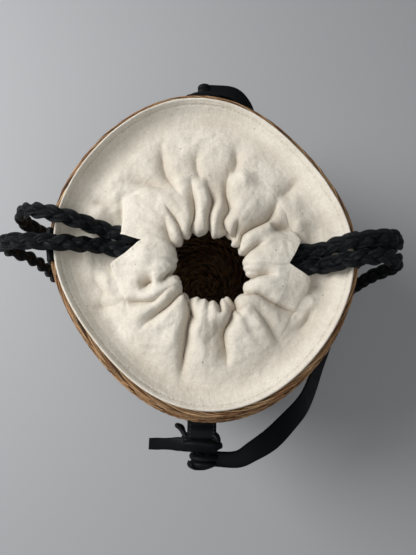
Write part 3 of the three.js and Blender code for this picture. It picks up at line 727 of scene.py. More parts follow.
def run_line(half):
    side = -1 if half == "rear" else 1
    left, left_angle = run_end(NOTCHES["left"], side)
    right, right_angle = run_end(NOTCHES["right"] + (0 if half == "rear" else 360), -side)
    ring = [(CLOSURE[0] + CORD_RING_RADIUS * math.cos(a),
             CLOSURE[1] + CORD_RING_RADIUS * math.sin(a), CORD_PLANE)
            for a in np.linspace(left_angle, right_angle, 9)[1:-1]]
    return np.array(left + ring + right[::-1], float)


def cord_frames(line, looks_from):
    """side and lift along a cord whose flat face looks away from a point."""
    along = unit(np.gradient(line, axis=0))
    if looks_from is None:
        away = every([0.0, 0.0, 1.0], len(line))
    else:
        away = unit(line - np.array(looks_from))
    lift = unit(away - along * (away * along).sum(axis=1, keepdims=True))
    return np.cross(along, lift), lift


def make_drawcords():
    """The four plaited pieces, with the twist carried on from one to the next."""
    order = [
        ("drawcord_loop_left", smooth_line(LOOP_LEFT, LOOP_POINTS), (-75.0, 5.0, 110.0)),
        ("drawcord_run_front", smooth_line(run_line("front"), RUN_POINTS), None),
        ("drawcord_loop_right", smooth_line(LOOP_RIGHT[::-1], LOOP_POINTS),
         (75.0, -5.0, 110.0)),
        ("drawcord_run_rear", smooth_line(run_line("rear")[::-1], RUN_POINTS), None),
    ]
    total = sum(lengths_along(line)[-1] for _, line, _ in order)
    turns = round(total / PLAIT_PERIOD)
    start = 0.0
    made = {}
    for number, (name, line, looks_from) in enumerate(order):
        side, lift = cord_frames(line, looks_from)
        long = lengths_along(line)
        if looks_from is None:
            from_end = np.minimum(long, long[-1] - long)
            inside = smoothstep(from_end, *RUN_BLEND)[:, None]
            squeeze = mix(1.0, RUN_SQUEEZE, inside)
            side, lift = side * squeeze, lift * squeeze
            line = line - np.array([0, 0, RUN_SINK]) * inside
        twist = TAU * turns * (start + long) / total
        start += long[-1]
        plait = [(line, side, lift, twist, False)]
        made[name] = run_tree(name + "_plait", plait, STRANDS, {**PLAIT, "Seed": 3 + number})
        made[name + "_line"] = line
    return made


DRAWCORDS = make_drawcords()
for side in ("left", "right"):
    name = f"drawcord_loop_{side}"
    piece = DRAWCORDS[name]
    dress(piece, f"{side}_loop", "cord_leather", name)
for name in ("drawcord_run_front", "drawcord_run_rear"):
    dress(DRAWCORDS[name], "bag", "cord_leather", name)


# Basket: twined rows on upright stakes, a twined base and a twisted border

STAKES = 60
POINTS_PER_STAKE = 4
ROW_PITCH = 3.4
HEEL_MARGIN = 3.2
RIM_MARGIN = 2.6
ROW_LAG = 0.25
BASE_MIDDLE = 7.0
BASE_CROSSING = 13.0
BASE_SPOKES = 15
BORDER_TURNS = 9

# Strands of straw, in millimetres: what all share, the wall's twining, the base's twining and
# flat strands that lie alone
STRAW_STRANDS = {"Lift_Turns": 1.0, "Lift_Lead": math.pi / 2, "Section_Sides": 6,
                 "Lump_Size": 15.0, "Material": STRAW}
TWINE = {"Strands": 4, "Section_Sides": 5, "Side_Reach": 1.15, "Lift_Reach": 0.8,
         "Strand_Width": 1.4, "Strand_Thickness": 1.45, "Unevenness": 0.75, "Lump_Size": 11.0}
BASE_TWINE = {**TWINE, "Strands": 3, "Side_Reach": 0.9, "Strand_Width": 2.2,
              "Strand_Thickness": 1.8}
FLAT_STRAND = {"Strands": 1, "Side_Reach": 0.0, "Lift_Reach": 0.0}


def ring_line(angle, radius, z, slope):
    """A row's ring: points, the way out of the wall and the way up it."""
    radius = radius + out_of_round(angle, z)
    lean_out, lean_up = slope
    return (polar(radius, angle, z), polar(lean_up, angle, -lean_out),
            polar(lean_out, angle, lean_up))


def wall_rows():
    """The rows of the wall from the heel to the rim, as guide lines."""
    dice = random.Random(11)
    line = evenly(PROFILE, 400)
    long = lengths_along(line)
    slopes = unit(np.gradient(line, axis=0))
    first, last = HEEL_MARGIN, long[-1] - RIM_MARGIN
    rows = []
    count = int(round((last - first) / ROW_PITCH))
    angle = np.linspace(0, TAU, STAKES * POINTS_PER_STAKE, endpoint=False)
    for i in range(count + 1):
        at = mix(first, last, i / count)
        radius, z = (float(np.interp(at, long, line[:, k])) for k in (0, 1))
        slope = [float(np.interp(at, long, slopes[:, k])) for k in (0, 1)]
        depth = WALL / 2
        ring = ring_line(angle, radius - depth * slope[1], z + depth * slope[0], slope)
        lag = dice.uniform(-ROW_LAG, ROW_LAG)
        twist = angle * STAKES / 2 + math.pi / 2 + lag
        rows.append((*ring, twist, True))
    return rows


def wall_stakes(count, depth):
    """Upright guide lines behind the rows, all round the wall."""
    line = evenly(PROFILE, 64)
    slopes = unit(np.gradient(line, axis=0))
    lines = []
    for k in range(count):
        a = TAU * k / count
        z = line[:, 1] + depth * slopes[:, 0]
        radius = line[:, 0] - depth * slopes[:, 1] + out_of_round(a, z)
        points = polar(radius, a, z)[z < RIM_HEIGHT - 0.5]
        tangent = unit(np.gradient(points, axis=0))
        side = every([-math.sin(a), math.cos(a), 0.0], len(points))
        lift = np.cross(tangent, side)
        lines.append((points, side, lift, np.zeros(len(points)), False))
    return lines


def strands_piece(name, lines, **values):
    return run_tree(name, lines, STRANDS, {**STRAW_STRANDS, **values})


def base_rows():
    rows = []
    radius = BASE_MIDDLE
    while radius < BASE_RADIUS + 1:
        crossings = max(10, int(round(TAU * radius / BASE_CROSSING)) * 2)
        angle = np.linspace(0, TAU, crossings * 4, endpoint=False)
        crown = 2.0 * (1 - (radius / BASE_RADIUS) ** 2)
        points = polar(radius, angle, 3.1 + crown * 0.4)
        rows.append((points, every([0.0, 0.0, -1.0], len(angle)), polar(1.0, angle, 0.0),
                     angle * crossings / 2, True))
        radius += ROW_PITCH
    return rows


def base_spokes():
    lines = []
    reach = np.linspace(-BASE_RADIUS - 4, BASE_RADIUS + 4, 40)
    for k in range(BASE_SPOKES):
        a = math.pi * k / BASE_SPOKES
        z = 3.4 + 0.9 * np.exp(-(reach / 14) ** 2) * ((k % 3) - 1)
        points = polar(reach, a, z)
        side = every([-math.sin(a), math.cos(a), 0.0], len(points))
        lift = every([0.0, 0.0, 1.0], len(points))
        lines.append((points, side, lift, np.zeros(len(points)), False))
    return lines


def border_line():
    angle = np.linspace(0, TAU, 420, endpoint=False)
    points, out, up = ring_line(angle, MOUTH_RADIUS - 0.6, BORDER_TOP - 3.0, (0.0, 1.0))
    return [(points, out, up, angle * BORDER_TURNS, True)]


ROWS = wall_rows()
WALL_PARTS = 4
stakes = strands_piece("straw_stakes", wall_stakes(2 * STAKES, WALL / 2 + 0.2), **FLAT_STRAND,
                       Strand_Width=8.4, Strand_Thickness=1.1, Seed=23, Unevenness=0.3)
base = strands_piece("straw_base", base_rows(), Seed=24, **BASE_TWINE)
spokes = strands_piece("straw_spokes", base_spokes(), **FLAT_STRAND, Strand_Width=4.2,
                       Strand_Thickness=1.3, Seed=25, Unevenness=0.4)
border = strands_piece("straw_border", border_line(), Strands=8, Side_Reach=2.2,
                       Lift_Reach=1.5, Strand_Width=1.3, Strand_Thickness=1.25, Seed=26,
                       Unevenness=1.1, Lump_Size=10.0)
wall = [strands_piece(f"straw_wall_{part + 1}", ROWS[part::WALL_PARTS], Seed=31 + part, **TWINE)
        for part in range(WALL_PARTS)]
for node, pieces in (("basket_wall", (*wall, stakes)), ("basket_base", (base, spokes)),
                     ("rim_border", (border,))):
    for piece in pieces:
        dress(piece, "bag", "straw", node)


# Canvas folds, in the plan, drawn to follow the photograph. Each is (depth, width at its
# start, width at its end, points); a positive depth is a valley and a negative one a ridge. The
# gathers start inside the hole.

GATHERS = [
    (7, 2.0, 5.0, [(-8, 9), (-7, 31), (-9, 47), (-11, 61)]),
    (7, 2.0, 4.5, [(4, 9), (5, 26), (7, 38), (4, 51), (1, 62)]),
    (7, 2.8, 7.0, [(17, 5), (16, 20), (21, 31), (19, 47), (20, 62), (18, 75)]),
    (5, 2.2, 3.0, [(22, 4), (26, 13), (29, 22)]),
    (7.5, 2.4, 5.0, [(25, -4), (30, 7), (39, 14), (54, 23), (60, 37), (62, 47)]),
    (5, 2.0, 4.0, [(28, -11), (37, -4), (45, 1), (53, 2)]),
    (6, 2.2, 4.0, [(32, -26), (47, -24), (60, -23)]),
    (6, 2.2, 3.6, [(31, -37), (44, -40), (59, -48), (77, -54), (84, -54)]),
    (6, 2.2, 4.0, [(24, -41), (26, -51), (31, -57)]),
    (7, 2.4, 5.5, [(22, -41), (22, -56), (17, -72), (18, -87), (20, -102)]),
    (5, 2.0, 3.0, [(12, -44), (14, -56)]),
    (4, 2.2, 4.0, [(-8, -39), (-8, -54), (-3, -66)]),
    (8, 2.6, 6.0, [(-9, -33), (-10, -51), (-13, -66), (-16, -93), (-18, -112)]),
    (7, 2.6, 5.5, [(-12, -32), (-27, -48), (-39, -57), (-53, -69)]),
    (7, 2.2, 3.0, [(-17, -18), (-29, -26), (-36, -31)]),
    (5, 2.0, 3.0, [(-12, 0), (-21, 19), (-28, 30), (-32, 38)]),
    (5, 2.6, 5.0, [(-16, -6), (-27, 7), (-30, 18), (-29, 27)]),
]
CREASES = [
    (3.5, 3.5, 6.0, [(37, -47), (47, -59), (57, -74), (66, -83)]),
    (4.5, 2.5, 4.0, [(-69, -41), (-55, -45), (-40, -45), (-31, -39), (-20, -28)]),
    (6, 5.0, 5.0, [(-37, -29), (-45, -30), (-51, -38)]),
    (3.5, 5.0, 7.0, [(-14, 33), (-20, 45), (-32, 64), (-35, 84), (-33, 100)]),
    (3.0, 5.0, 6.0, [(-26, 44), (-40, 52), (-58, 56), (-72, 60)]),
    (3.0, 6.0, 7.0, [(22, 55), (28, 74), (26, 92)]),
    (2.5, 4.0, 6.0, [(-2, 52), (-6, 72), (-4, 88)]),
    (2.5, 5.0, 6.0, [(60, 40), (74, 52), (82, 66)]),
    (5, 6.0, 5.0, [(52, 16), (63, 16), (76, 14)]),
    (2.0, 5.0, 5.0, [(-92, -23), (-84, -30), (-76, -38), (-64, -41)]),
    (1.5, 4.0, 4.0, [(-88, -47), (-75, -48), (-61, -45)]),
    (2.0, 5.0, 5.0, [(-95, 41), (-82, 37), (-70, 31)]),
    (2.2, 6.0, 6.0, [(11, -57), (9, -70), (-1, -81)]),
    (2.2, 4.0, 4.0, [(84, -48), (83, -56), (75, -65), (68, -65)]),
    (-2.5, 7.0, 7.0, [(32, 67), (33, 57), (34, 45)]),
    (-3.0, 7.0, 7.0, [(-20, -30), (-35, -45), (-48, -56), (-60, -66)]),
    (-2.5, 6.0, 6.0, [(38, -52), (46, -65), (55, -79)]),
    (-2.0, 9.0, 9.0, [(-22, 62), (-19, 50), (-14, 38)]),
    (-1.8, 9.0, 9.0, [(-40, 8), (-46, -8), (-42, -20)]),
]
FOLD_POINTS = 30
FOLD_SHARPNESS = 1.5
FOLD_END = 0.55
FOLD_LEAN = 0.45
LEAN_SOFTNESS = 1.5
FOLD_PULL = 0.35
FULL_PULL_DEPTH = 5.0
CREASE_START = 0.35
GATHER_DEPTH = 1.3
CREASE_DEPTH = 1.7


def nearest_on(line, x, y):
    """Each place's distance to a line, its share along it, the way there and its side."""
    best = np.full(x.shape, np.inf)
    share, side = np.zeros_like(x), np.zeros_like(x)
    way = np.zeros(x.shape + (2,))
    for i, (a, b) in enumerate(zip(line, line[1:])):
        along = b - a
        t = np.clip(((x - a[0]) * along[0] + (y - a[1]) * along[1]) / (along @ along), 0, 1)
        dx, dy = a[0] + along[0] * t - x, a[1] + along[1] * t - y
        far = np.hypot(dx, dy)
        nearer = far < best
        best = np.where(nearer, far, best)
        share = np.where(nearer, (i + t) / (len(line) - 1), share)
        way = np.where(nearer[..., None], np.stack([dx, dy], axis=-1), way)
        side = np.where(nearer, (along[0] * dy - along[1] * dx) / math.hypot(*along), side)
    return best, share, way, side


def stroke_push(x, y):
    """How far the cloth lies below its plain shape, and its sideways pull, from the folds."""
    down = np.zeros_like(x)
    pull = np.zeros(x.shape + (2,))
    for number, (depth, start_width, end_width, points) in enumerate(GATHERS + CREASES):
        best, share, way, side = nearest_on(smooth_line(points, FOLD_POINTS), x, y)
        taper = 1 - smoothstep(share, FOLD_END, 1.0)
        if number < len(GATHERS):
            depth *= GATHER_DEPTH
            lean = np.tanh(side / LEAN_SOFTNESS) * (1 if number % 2 else -1)
        else:
            depth *= CREASE_DEPTH
            lean = 0.0
            taper = taper * smoothstep(share, 0.0, CREASE_START)
        width = mix(start_width, end_width, share) * (1 + FOLD_LEAN * lean * share)
        near = np.exp(-(best / width) ** FOLD_SHARPNESS) * taper
        down += depth * near
        if depth > 0:
            pull += way * (FOLD_PULL * near * min(1.0, depth / FULL_PULL_DEPTH))[..., None]
    return down, pull


def low_noise(x, y, z, scale, seed):
    """Smooth noise between about -1 and 1, at every place; z may be one number."""
    x, y, z = np.broadcast_arrays(x, y, z)
    flat = np.stack([x.ravel() / scale, y.ravel() / scale, z.ravel() / scale + seed], axis=1)
    return np.array([noise.noise(Vector(p)) for p in flat.tolist()]).reshape(x.shape)


def round_table(rows, blur):
    """A value that varies round the closure, from [degrees, value] rows, smoothly."""
    fine = np.arange(0, 360, 0.5)
    degrees, values = (np.array(column, float) for column in zip(*sorted(rows)))
    level = np.interp(fine, degrees, values, period=360)
    reach = int(blur / 0.5)
    window = np.hanning(2 * reach + 3)
    padded = np.concatenate([level[-reach - 1:], level, level[:reach + 1]])
    level = np.convolve(padded, window / window.sum(), "valid")
    return lambda angle: np.interp(np.degrees(angle) % 360, fine, level, period=360)


# The hole's edge: the tops of its rounded gathers, and the cloth's dips between them
HOLE_LOBES = [
    (138.8, 27.5), (108.9, 27.0), (78.5, 23.0), (53.5, 23.2), (36.5, 21.5), (15, 24.0),
    (353.7, 26.5), (325.8, 30.5), (313.9, 31.5), (300.7, 27.6), (268.3, 28.8), (249.4, 26.8),
    (226.2, 24.5), (213.1, 27.0), (186, 27.0), (158.9, 28.2),
]
hole_edge = round_table(HOLE_LOBES, 7)

# The casing's hem: how far out it reaches, and where it shows as a flap beside the notches
hem_edge = round_table([
    (0, 79), (12, 76.2), (24.5, 72), (38, 80), (50, 84.6), (128, 84.6), (135, 85), (141.5, 92),
    (147, 86), (153, 80), (160.6, 77.4), (169, 78), (177.3, 80.7), (185, 78), (199.6, 74),
    (215, 81), (228, 84.6), (312, 84.6), (326.6, 76), (336.9, 76), (346, 79), (353.5, 79.9),
], 2)
flap_shows = round_table([
    (0, 1), (24, 1), (38, 0), (128, 0), (137, 1), (198, 1), (214, 0), (314, 0), (330, 1),
], 3)

# Each notch: its tip, and the outer corners of its rear and its front edge
NOTCH_SHAPES = {
    "left": ((-48.2, 3.2), (-67.0, 10.0), (-74.0, -12.0)),
    "right": ((67.6, -15.0), (80.8, 0.2), (85.6, -24.6)),
}
SEAM_LAP = 1.6


def about_closure(x, y):
    """A plan place's radius and angle about the closure's middle."""
    dx, dy = x - CLOSURE[0], y - CLOSURE[1]
    return np.hypot(dx, dy), np.arctan2(dy, dx)


def off_closure(radius, turn):
    """The plan place at a radius and an angle about the closure's middle."""
    return CLOSURE[0] + radius * np.cos(turn), CLOSURE[1] + radius * np.sin(turn)


def notch_edge(notch, half, radius):
    """The angle of a notch's rear or front edge at each radius."""
    tip, rear, front = NOTCH_SHAPES[notch]
    corner = rear if half == "rear" else front
    share = np.linspace(0, 1.6, 30)
    reach, turn = about_closure(mix(tip[0], corner[0], share), mix(tip[1], corner[1], share))
    opening = np.interp(radius, reach, turn_gap(turn, turn[0]), left=0.0)
    lapped = 0.0
    if half == "rear":
        lapped = SEAM_LAP * (1 - smoothstep(radius, reach[0] - 6, reach[0] + 1))
    side = 1.0 if notch == "left" else -1.0
    return turn[0] + opening + side * lapped / np.maximum(radius, 10.0)


def near_notch(angle, near, far):
    """1 within near degrees of a notch's middle, and 0 from far degrees."""
    turns = [np.abs(turn_gap(angle, math.radians(a))) for a in NOTCHES.values()]
    return 1 - smoothstep(np.minimum(*turns), math.radians(near), math.radians(far))


# The cloth outside the casing's ridge, before its folds: heights by radius, sinking to the
# foot of the band
PLAIN_HEIGHTS = [
    (41, 237.9), (48, 237.2), (56, 235.6), (64, 233.4), (72, 231.3), (79.5, 229.5),
    (86, 228.2), (93, 227.3), (102, 226.7), (112, 226.3), (140, 226.3),
]
EDGE_RADIUS = 118.9
BAND_WIDTH = 13.2
BAND_FOOT = 223.9
BAND_SOFTNESS = 12.0


def band_drop(x, y, height):
    """How far the cloth sinks towards the band's foot at a place."""
    theta = np.arctan2(y, x)
    foot = EDGE_RADIUS - BAND_WIDTH + out_of_round(theta, RIM_HEIGHT)
    gap = np.maximum(foot - np.hypot(x, y), 0.0)
    return (height - BAND_FOOT) * np.exp(-(gap / BAND_SOFTNESS) ** 2)


def plain_height(radius, x, y):
    radii, heights = zip(*PLAIN_HEIGHTS)
    height = np.interp(radius, radii, heights)
    return height - band_drop(x, y, height)


# The cloth's fine unevenness: swells as (height, size, seed, 1 where it changes with height
# too), and hollows as (depth, size, seed)
SWELLS = [(0.8, 30.0, 3.0, 0), (0.3, 9.0, 9.0, 1)]
HOLLOWS = [(1.5, 19.0, 5.0), (0.5, 7.0, 6.0)]
PLEAT_RATE = 8.0
PLEAT_LENGTH = 28.0
PLEAT_SEED = 12.0
PLEAT_DEPTH = 1.5
PLEAT_FADE = (52, 92)
# Fold depth, in millimetres, at which the painted fold shade is full
FULL_FOLD_SHADE_DEPTH = 9.0
# Radii between which the cloths nest round the casing's hem
NEST_START = (66, 76)
NEST_END = (90, 98)


def place_folds(points, normals, fade):
    """Moves a grid of cloth points by the folds and by a fine unevenness. Also gives how deep
    in a fold each point lies, from 0 to 1, as the amount of shade painted there."""
    x, y, z = points[..., 0], points[..., 1], points[..., 2]
    down, pull = stroke_push(x, y)
    rough = sum(height * low_noise(x, y, z * rising, size, seed)
                for height, size, seed, rising in SWELLS)
    for depth, size, seed in HOLLOWS:
        rough -= depth * np.abs(low_noise(x, y, 0, size, seed))
    radius, turn = about_closure(x, y)
    pleats = low_noise(PLEAT_RATE * np.cos(turn), PLEAT_RATE * np.sin(turn),
                       radius / PLEAT_LENGTH, 1.0, PLEAT_SEED)
    rough += PLEAT_DEPTH * pleats * (1 - smoothstep(radius, *PLEAT_FADE))
    moved = points - normals * ((down - rough) * fade)[..., None]
    moved[..., :2] += pull * fade[..., None]
    return moved, np.clip(down * fade / FULL_FOLD_SHADE_DEPTH, 0, 1)


def upright(normals, radius):
    """The same normals, turned straight up around the casing's hem, where two cloths nest."""
    share = smoothstep(radius, *NEST_START) * (1 - smoothstep(radius, *NEST_END))
    return unit(mix(normals, np.array([0.0, 0.0, 1.0]), share[..., None]))


def cloth_piece(name, points, folded, around, down, closed):
    """A cloth from its grid of points. around and down are its own UV values in millimetres,
    and folded is the shade painted on each point: how deep in a fold it lies, and on the
    collar also the shade along the band's stitch groove and at the band's foot."""
    uv = np.stack(np.broadcast_arrays(around, down[:, None]), axis=-1)
    mesh = mesh_from(name, points.reshape(-1, 3), grid_faces(*points.shape[:2], closed),
                     uv.reshape(-1, 2))
    # folded holds the painted shade that the canvas material reads
    layer = mesh.attributes.new("folded", "FLOAT", "POINT")
    layer.data.foreach_set("value", folded.astype(np.float32).ravel())
    return new_object(name, mesh)


def grid_normals(points, closed, top):
    """Unit normals of a grid of points, with the one at top looking up."""
    if closed:
        around = np.roll(points, -1, axis=1) - np.roll(points, 1, axis=1)
    else:
        around = np.gradient(points, axis=1)
    normals = unit(np.cross(around, np.gradient(points, axis=0)))
    return -normals if normals[top][2] < 0 else normals


# The casing's section from under the hem, over the cord and into the hole: [radius, height]
CASING_SECTION = [
    (79.0, 222.8), (82.6, 223.0), (84.6, 225.0), (83.4, 227.6), (79.5, 229.5),
    (72, 231.3), (64, 233.4), (56, 235.6), (48, 237.2), (41, 237.9), (35, 236.9),
    (30.5, 233.8), (27.8, 229.6), (27.2, 224.6), (29.4, 220.4), (35, 218.4), (44, 218.2),
    (54, 218.4),
]
CASING_ROWS = 122
CASING_CLOTH_RADIUS = 60.0
HEM_TUCK = 2.6
SEAM_RISE = 0.35
FLAP_LIFT = 2.4
# The section's least and greatest radius, and radii between which details come in or fade
SECTION_HOLE = 27.2
SECTION_HEM = 84.6
HEM_SHAPE_START = 60.0
HOLE_SHAPE_FADE = (30, 46)
FLAP_START = (50, 78)
TUCK_START = (77.5, 84.5)
SEAM_FADE = (50, 62)
# Shares of the section's length where its top starts and its underside takes over
TOP_START = (0.03, 0.1)
UNDERSIDE_START = (0.72, 0.86)
# Degrees from a notch's middle over which the flap, the seam and the cords' hollow fade
FLAP_NEAR = (8.0, 26.0)
SEAM_NEAR = (1.0, 6.0)
CORDS_NEAR = (10.0, 24.0)


def make_casing(half, steps):
    """The front or the rear half of the gathered casing, from notch to notch."""
    section = smooth_line(CASING_SECTION, CASING_ROWS)
    long = lengths_along(section)
    share = (long / long[-1])[:, None]
    plain, height = (section[:, [k]] * np.ones(steps) for k in (0, 1))
    sides = ("right", "left") if half == "rear" else ("left", "right")
    start, end = (notch_edge(side, half, section[:, 0])[:, None] for side in sides)
    angle = start + ((end - start) % TAU) * np.linspace(0, 1, steps)
    inner = 1 - smoothstep(plain, *HOLE_SHAPE_FADE)
    outer = np.maximum(plain - HEM_SHAPE_START, 0) / (SECTION_HEM - HEM_SHAPE_START)
    radius = plain + inner * (hole_edge(angle) - SECTION_HOLE)
    radius += outer * (hem_edge(angle) - SECTION_HEM)
    x, y = off_closure(radius, angle)

    top = smoothstep(share, *TOP_START)
    height = height - band_drop(x, y, np.maximum(height, BAND_FOOT))
    height += smoothstep(plain, *FLAP_START) * top * FLAP_LIFT * near_notch(angle, *FLAP_NEAR)
    height -= HEM_TUCK * (1 - flap_shows(angle)) * smoothstep(plain, *TUCK_START)
    if half == "rear":
        by_seam = near_notch(angle, *SEAM_NEAR) * (1 - smoothstep(plain, *SEAM_FADE))
        height += SEAM_RISE * by_seam * top
    points = np.stack([x, y, height], axis=-1)
    normals = grid_normals(points, False, (CASING_ROWS // 3, steps // 2))
    fade = (1 - smoothstep(share, *UNDERSIDE_START)) * np.ones(steps)
    points, folded = place_folds(points, upright(normals, plain), fade)
    casing = cloth_piece(f"canvas_casing_{half}", points, folded, angle * CASING_CLOTH_RADIUS,
                         long, False)
    return casing, points, normals


# Facing and collar in one sheet: from behind its folded edge on the border, down the band,
# and in again to pass under the casing's hem. Rows are [distance inwards, height].
BAND_SECTION = [
    (-0.8, 230.6), (-0.4, 232.6), (-0.4, 234.6), (-0.9, 235.3), (-1.5, 234.6), (-2.6, 232.9),
    (-4.4, 230.6), (-6.5, 228.2), (-8.7, 226.2), (-11.0, 224.8), (-13.2, 223.9),
]
BAND_ROWS = 40
BAND_STITCH_ROW = 17
STITCH_GROOVE = 0.5
GROOVE_ROWS = 1.3
# How much shade is painted along the stitch groove
STITCH_SHADE = 4.5
PUCKER = 0.5
FOOT_ROWS = 9
FOOT_PASSES = 60
# How much shade is painted at the band's foot
FOOT_SHADE = 0.3
EDGE_ROWS = 14
EDGE_WAVE = 0.4
COLLAR_ROWS = 66
COLLAR_CLOTH_RADIUS = 110.0
# How far the collar lies below the casing's top and sinks under its hem, its flaps and the
# cords, and radii over which it does
COLLAR_DROP = 0.03
UNDER_HEM = 2.6
UNDER_FLAP = 2.0
UNDER_CORDS = 8.0
HEM_FADE = (65, 79.5)
CORDS_FADE = (84, 102)
# The collar's inner edge, away from the notches and at them
INSIDE_RADII = (64.0, 75.0)


def make_collar(steps):
    """The facing down the band, and the collar on from its foot to under the casing's hem."""
    angle = np.linspace(0, TAU, steps, endpoint=False)
    rim_shape = out_of_round(angle, RIM_HEIGHT)
    rows = [polar(EDGE_RADIUS + inset + rim_shape, angle, z)
            for inset, z in smooth_line(BAND_SECTION, BAND_ROWS)]
    foot_radius, turn = about_closure(rows[-1][:, 0], rows[-1][:, 1])
    cords = near_notch(turn, *CORDS_NEAR)
    shown, hem = flap_shows(turn), hem_edge(turn)
    for u in np.linspace(0, 1, COLLAR_ROWS)[1:]:
        radius = mix(foot_radius, mix(*INSIDE_RADII, cords), u)
        x, y = off_closure(radius, turn)
        z = plain_height(radius, x, y) - COLLAR_DROP
        z -= UNDER_HEM * (1 - smoothstep(radius, *HEM_FADE))
        z -= UNDER_FLAP * shown * (1 - smoothstep(radius, hem + 1, hem + 8))
        z -= UNDER_CORDS * cords * (1 - smoothstep(radius, *CORDS_FADE))
        rows.append(np.stack([x, y, z], axis=-1))
    points = np.array(rows)
    normals = grid_normals(points, True, (BAND_ROWS + 12, 0))
    index = np.arange(len(points))[:, None]
    fade = smoothstep(index, BAND_ROWS - 10, BAND_ROWS + 8) * np.ones(steps)
    from_closure, _ = about_closure(points[..., 0], points[..., 1])
    points, folded = place_folds(points, upright(normals, from_closure), fade)

    # the band's foot is smoothed, its stitches pull a groove and its edge waves a little, and
    # shade is painted along the groove and at the foot
    first, last = BAND_ROWS - FOOT_ROWS, BAND_ROWS + FOOT_ROWS
    for _ in range(FOOT_PASSES):
        middle = (points[first - 1:last - 1] + points[first + 1:last + 1]) / 2
        points[first:last] = (points[first:last] + middle) / 2
    groove = STITCH_GROOVE * np.exp(-((index - BAND_STITCH_ROW) / GROOVE_ROWS) ** 2)
    pucker = 1 + PUCKER * low_noise(points[..., 0], points[..., 1], 0, 4.0, 2.0)
    points -= normals * (groove * pucker)[..., None]
    # painted shade along the stitch groove, uneven with the pucker
    folded += STITCH_SHADE * groove * (pucker - 0.8)
    # painted shade in the hollow at the band's foot
    folded += FOOT_SHADE * np.exp(-((index - BAND_ROWS) / FOOT_ROWS) ** 2)
    edge = points[:EDGE_ROWS]
    edge[..., 2] += EDGE_WAVE * low_noise(edge[..., 0], edge[..., 1], 0, 17.0, 4.0)
    cloth = cloth_piece("canvas_collar", points, np.clip(folded, 0, 1),
                        angle * COLLAR_CLOTH_RADIUS, lengths_along(points[:, 0]), True)
    return cloth, points, normals


CANVAS_THICK = 1.1
casing_front, front_points, front_normals = make_casing("front", 400)
casing_rear, rear_points, rear_normals = make_casing("rear", 330)
collar, collar_points, collar_normals = make_collar(460)
for piece, nodes in ((casing_front, ["casing_front"]), (casing_rear, ["casing_rear"]),
                     (collar, ["canvas_facing", "collar_front", "collar_rear"])):
    thicken(piece, CANVAS_THICK)
    dress(piece, "bag", "canvas", *nodes, material=CANVAS_CLOTH)


# Stitches: short threads laid one after another along guide lines

def stitches_tree():
    tree, given, out = geometry_tree("stitch_rows", [
        ("Pitch", "Float", 0.0035), ("Stitch Length", "Float", 0.0026),
        ("Thread", "Float", 0.0007), ("Wander", "Float", 0.06), ("Seed", "Int", 1),
    ])
    line = then(tree, given["Geometry"], "MeshToCurve")
    spots = then(tree, line, "ResampleCurve", {"mode": "LENGTH"}, Length=given["Pitch"])
    turn = add_node(tree, "FunctionNodeAxesToRotation",
                    {"primary_axis": "X", "secondary_axis": "Z"},
                    add_node(tree, "GeometryNodeInputTangent").outputs[0],
                    named(tree, "lift", "FLOAT_VECTOR"))
    ball = add_node(tree, "GeometryNodeMeshUVSphere", Segments=8, Rings=6, Radius=0.5)
    size = combined(tree, given["Stitch Length"], given["Thread"], given["Thread"])
    threads = then(tree, spots, "InstanceOnPoints", Instance=ball.outputs["Mesh"],
                   Rotation=turn.outputs[0], Scale=size)
    sway = add_node(tree, "FunctionNodeRandomValue", {"data_type": "FLOAT_VECTOR"},
                    Min=(0.0, 0.0, -1.0), Max=(0.0, 0.0, 1.0), Seed=given["Seed"])
    threads = then(tree, threads, "RotateInstances",
                   Rotation=scaled(tree, sway.outputs[0], given["Wander"]))
    return end_tree(tree, threads, given, out)


STITCHES = stitches_tree()


def stitch_piece(name, lines, slot, material, **values):
    """Stitches along (points, lift, closed) lines."""
    guides = [(points, np.zeros_like(points), lift, np.zeros(len(points)), closed)
              for points, lift, closed in lines]
    piece = run_tree(name, guides, STITCHES, {"Material": material, "Seed": 5, **values})
    return dress(piece, "bag", slot)


INSET_REACH = 60
HEM_INSET = 3.0
HEM_STITCH_END = 82.0


def inset_line(points, normals, step, rows):
    """A line on a cloth grid, a little in from the start of its rows or, with a step of -1,
    from their end."""
    found, looks = [], []
    for row, face in zip(points[rows][:, ::step], normals[rows][:, ::step]):
        long = lengths_along(row[:INSET_REACH])
        for grid, places in ((row, found), (face, looks)):
            places.append([np.interp(HEM_INSET, long, grid[:INSET_REACH, k])
                           for k in range(3)])
    looks = unit(looks)
    return np.array(found) + looks * CANVAS_LIFT, looks, False


CANVAS_LIFT = CANVAS_THICK / 2 + 0.12
section_radius = smooth_line(CASING_SECTION, CASING_ROWS)[:, 0]
top_rows = np.arange(section_radius.argmax(), section_radius.argmin())
cloth_lines = []
# Each casing's points and normals, and the radii where the hems of its two notches start
for cloth, facing, tips in ((rear_points, rear_normals, (60.5, 57.0)),
                            (front_points, front_normals, (57.0, 60.5))):
    for step, tip in zip((1, -1), tips):
        reach = section_radius[top_rows]
        rows = top_rows[(reach > tip) & (reach < HEM_STITCH_END)]
        cloth_lines.append(inset_line(cloth, facing, step, rows))
band, band_looks = collar_points[BAND_STITCH_ROW], collar_normals[BAND_STITCH_ROW]
cloth_lines.append((band + band_looks * CANVAS_LIFT, band_looks, True))
cloth_stitches = stitch_piece("canvas_stitches", cloth_lines, "canvas", THREAD, Pitch=3.4,
                              Stitch_Length=2.2, Thread=0.6)


# Leather strips: a section swept along a line of stations

def face_outward(piece):
    """Turns a closed piece's faces outward, if its volume comes out negative."""
    mesh = piece.data
    mesh.calc_loop_triangles()
    volume = 0.0
    for triangle in mesh.loop_triangles:
        a, b, c = (mesh.vertices[i].co for i in triangle.vertices)
        volume += a.dot(b.cross(c))
    if volume < 0:
        mesh.flip_normals()
    return piece


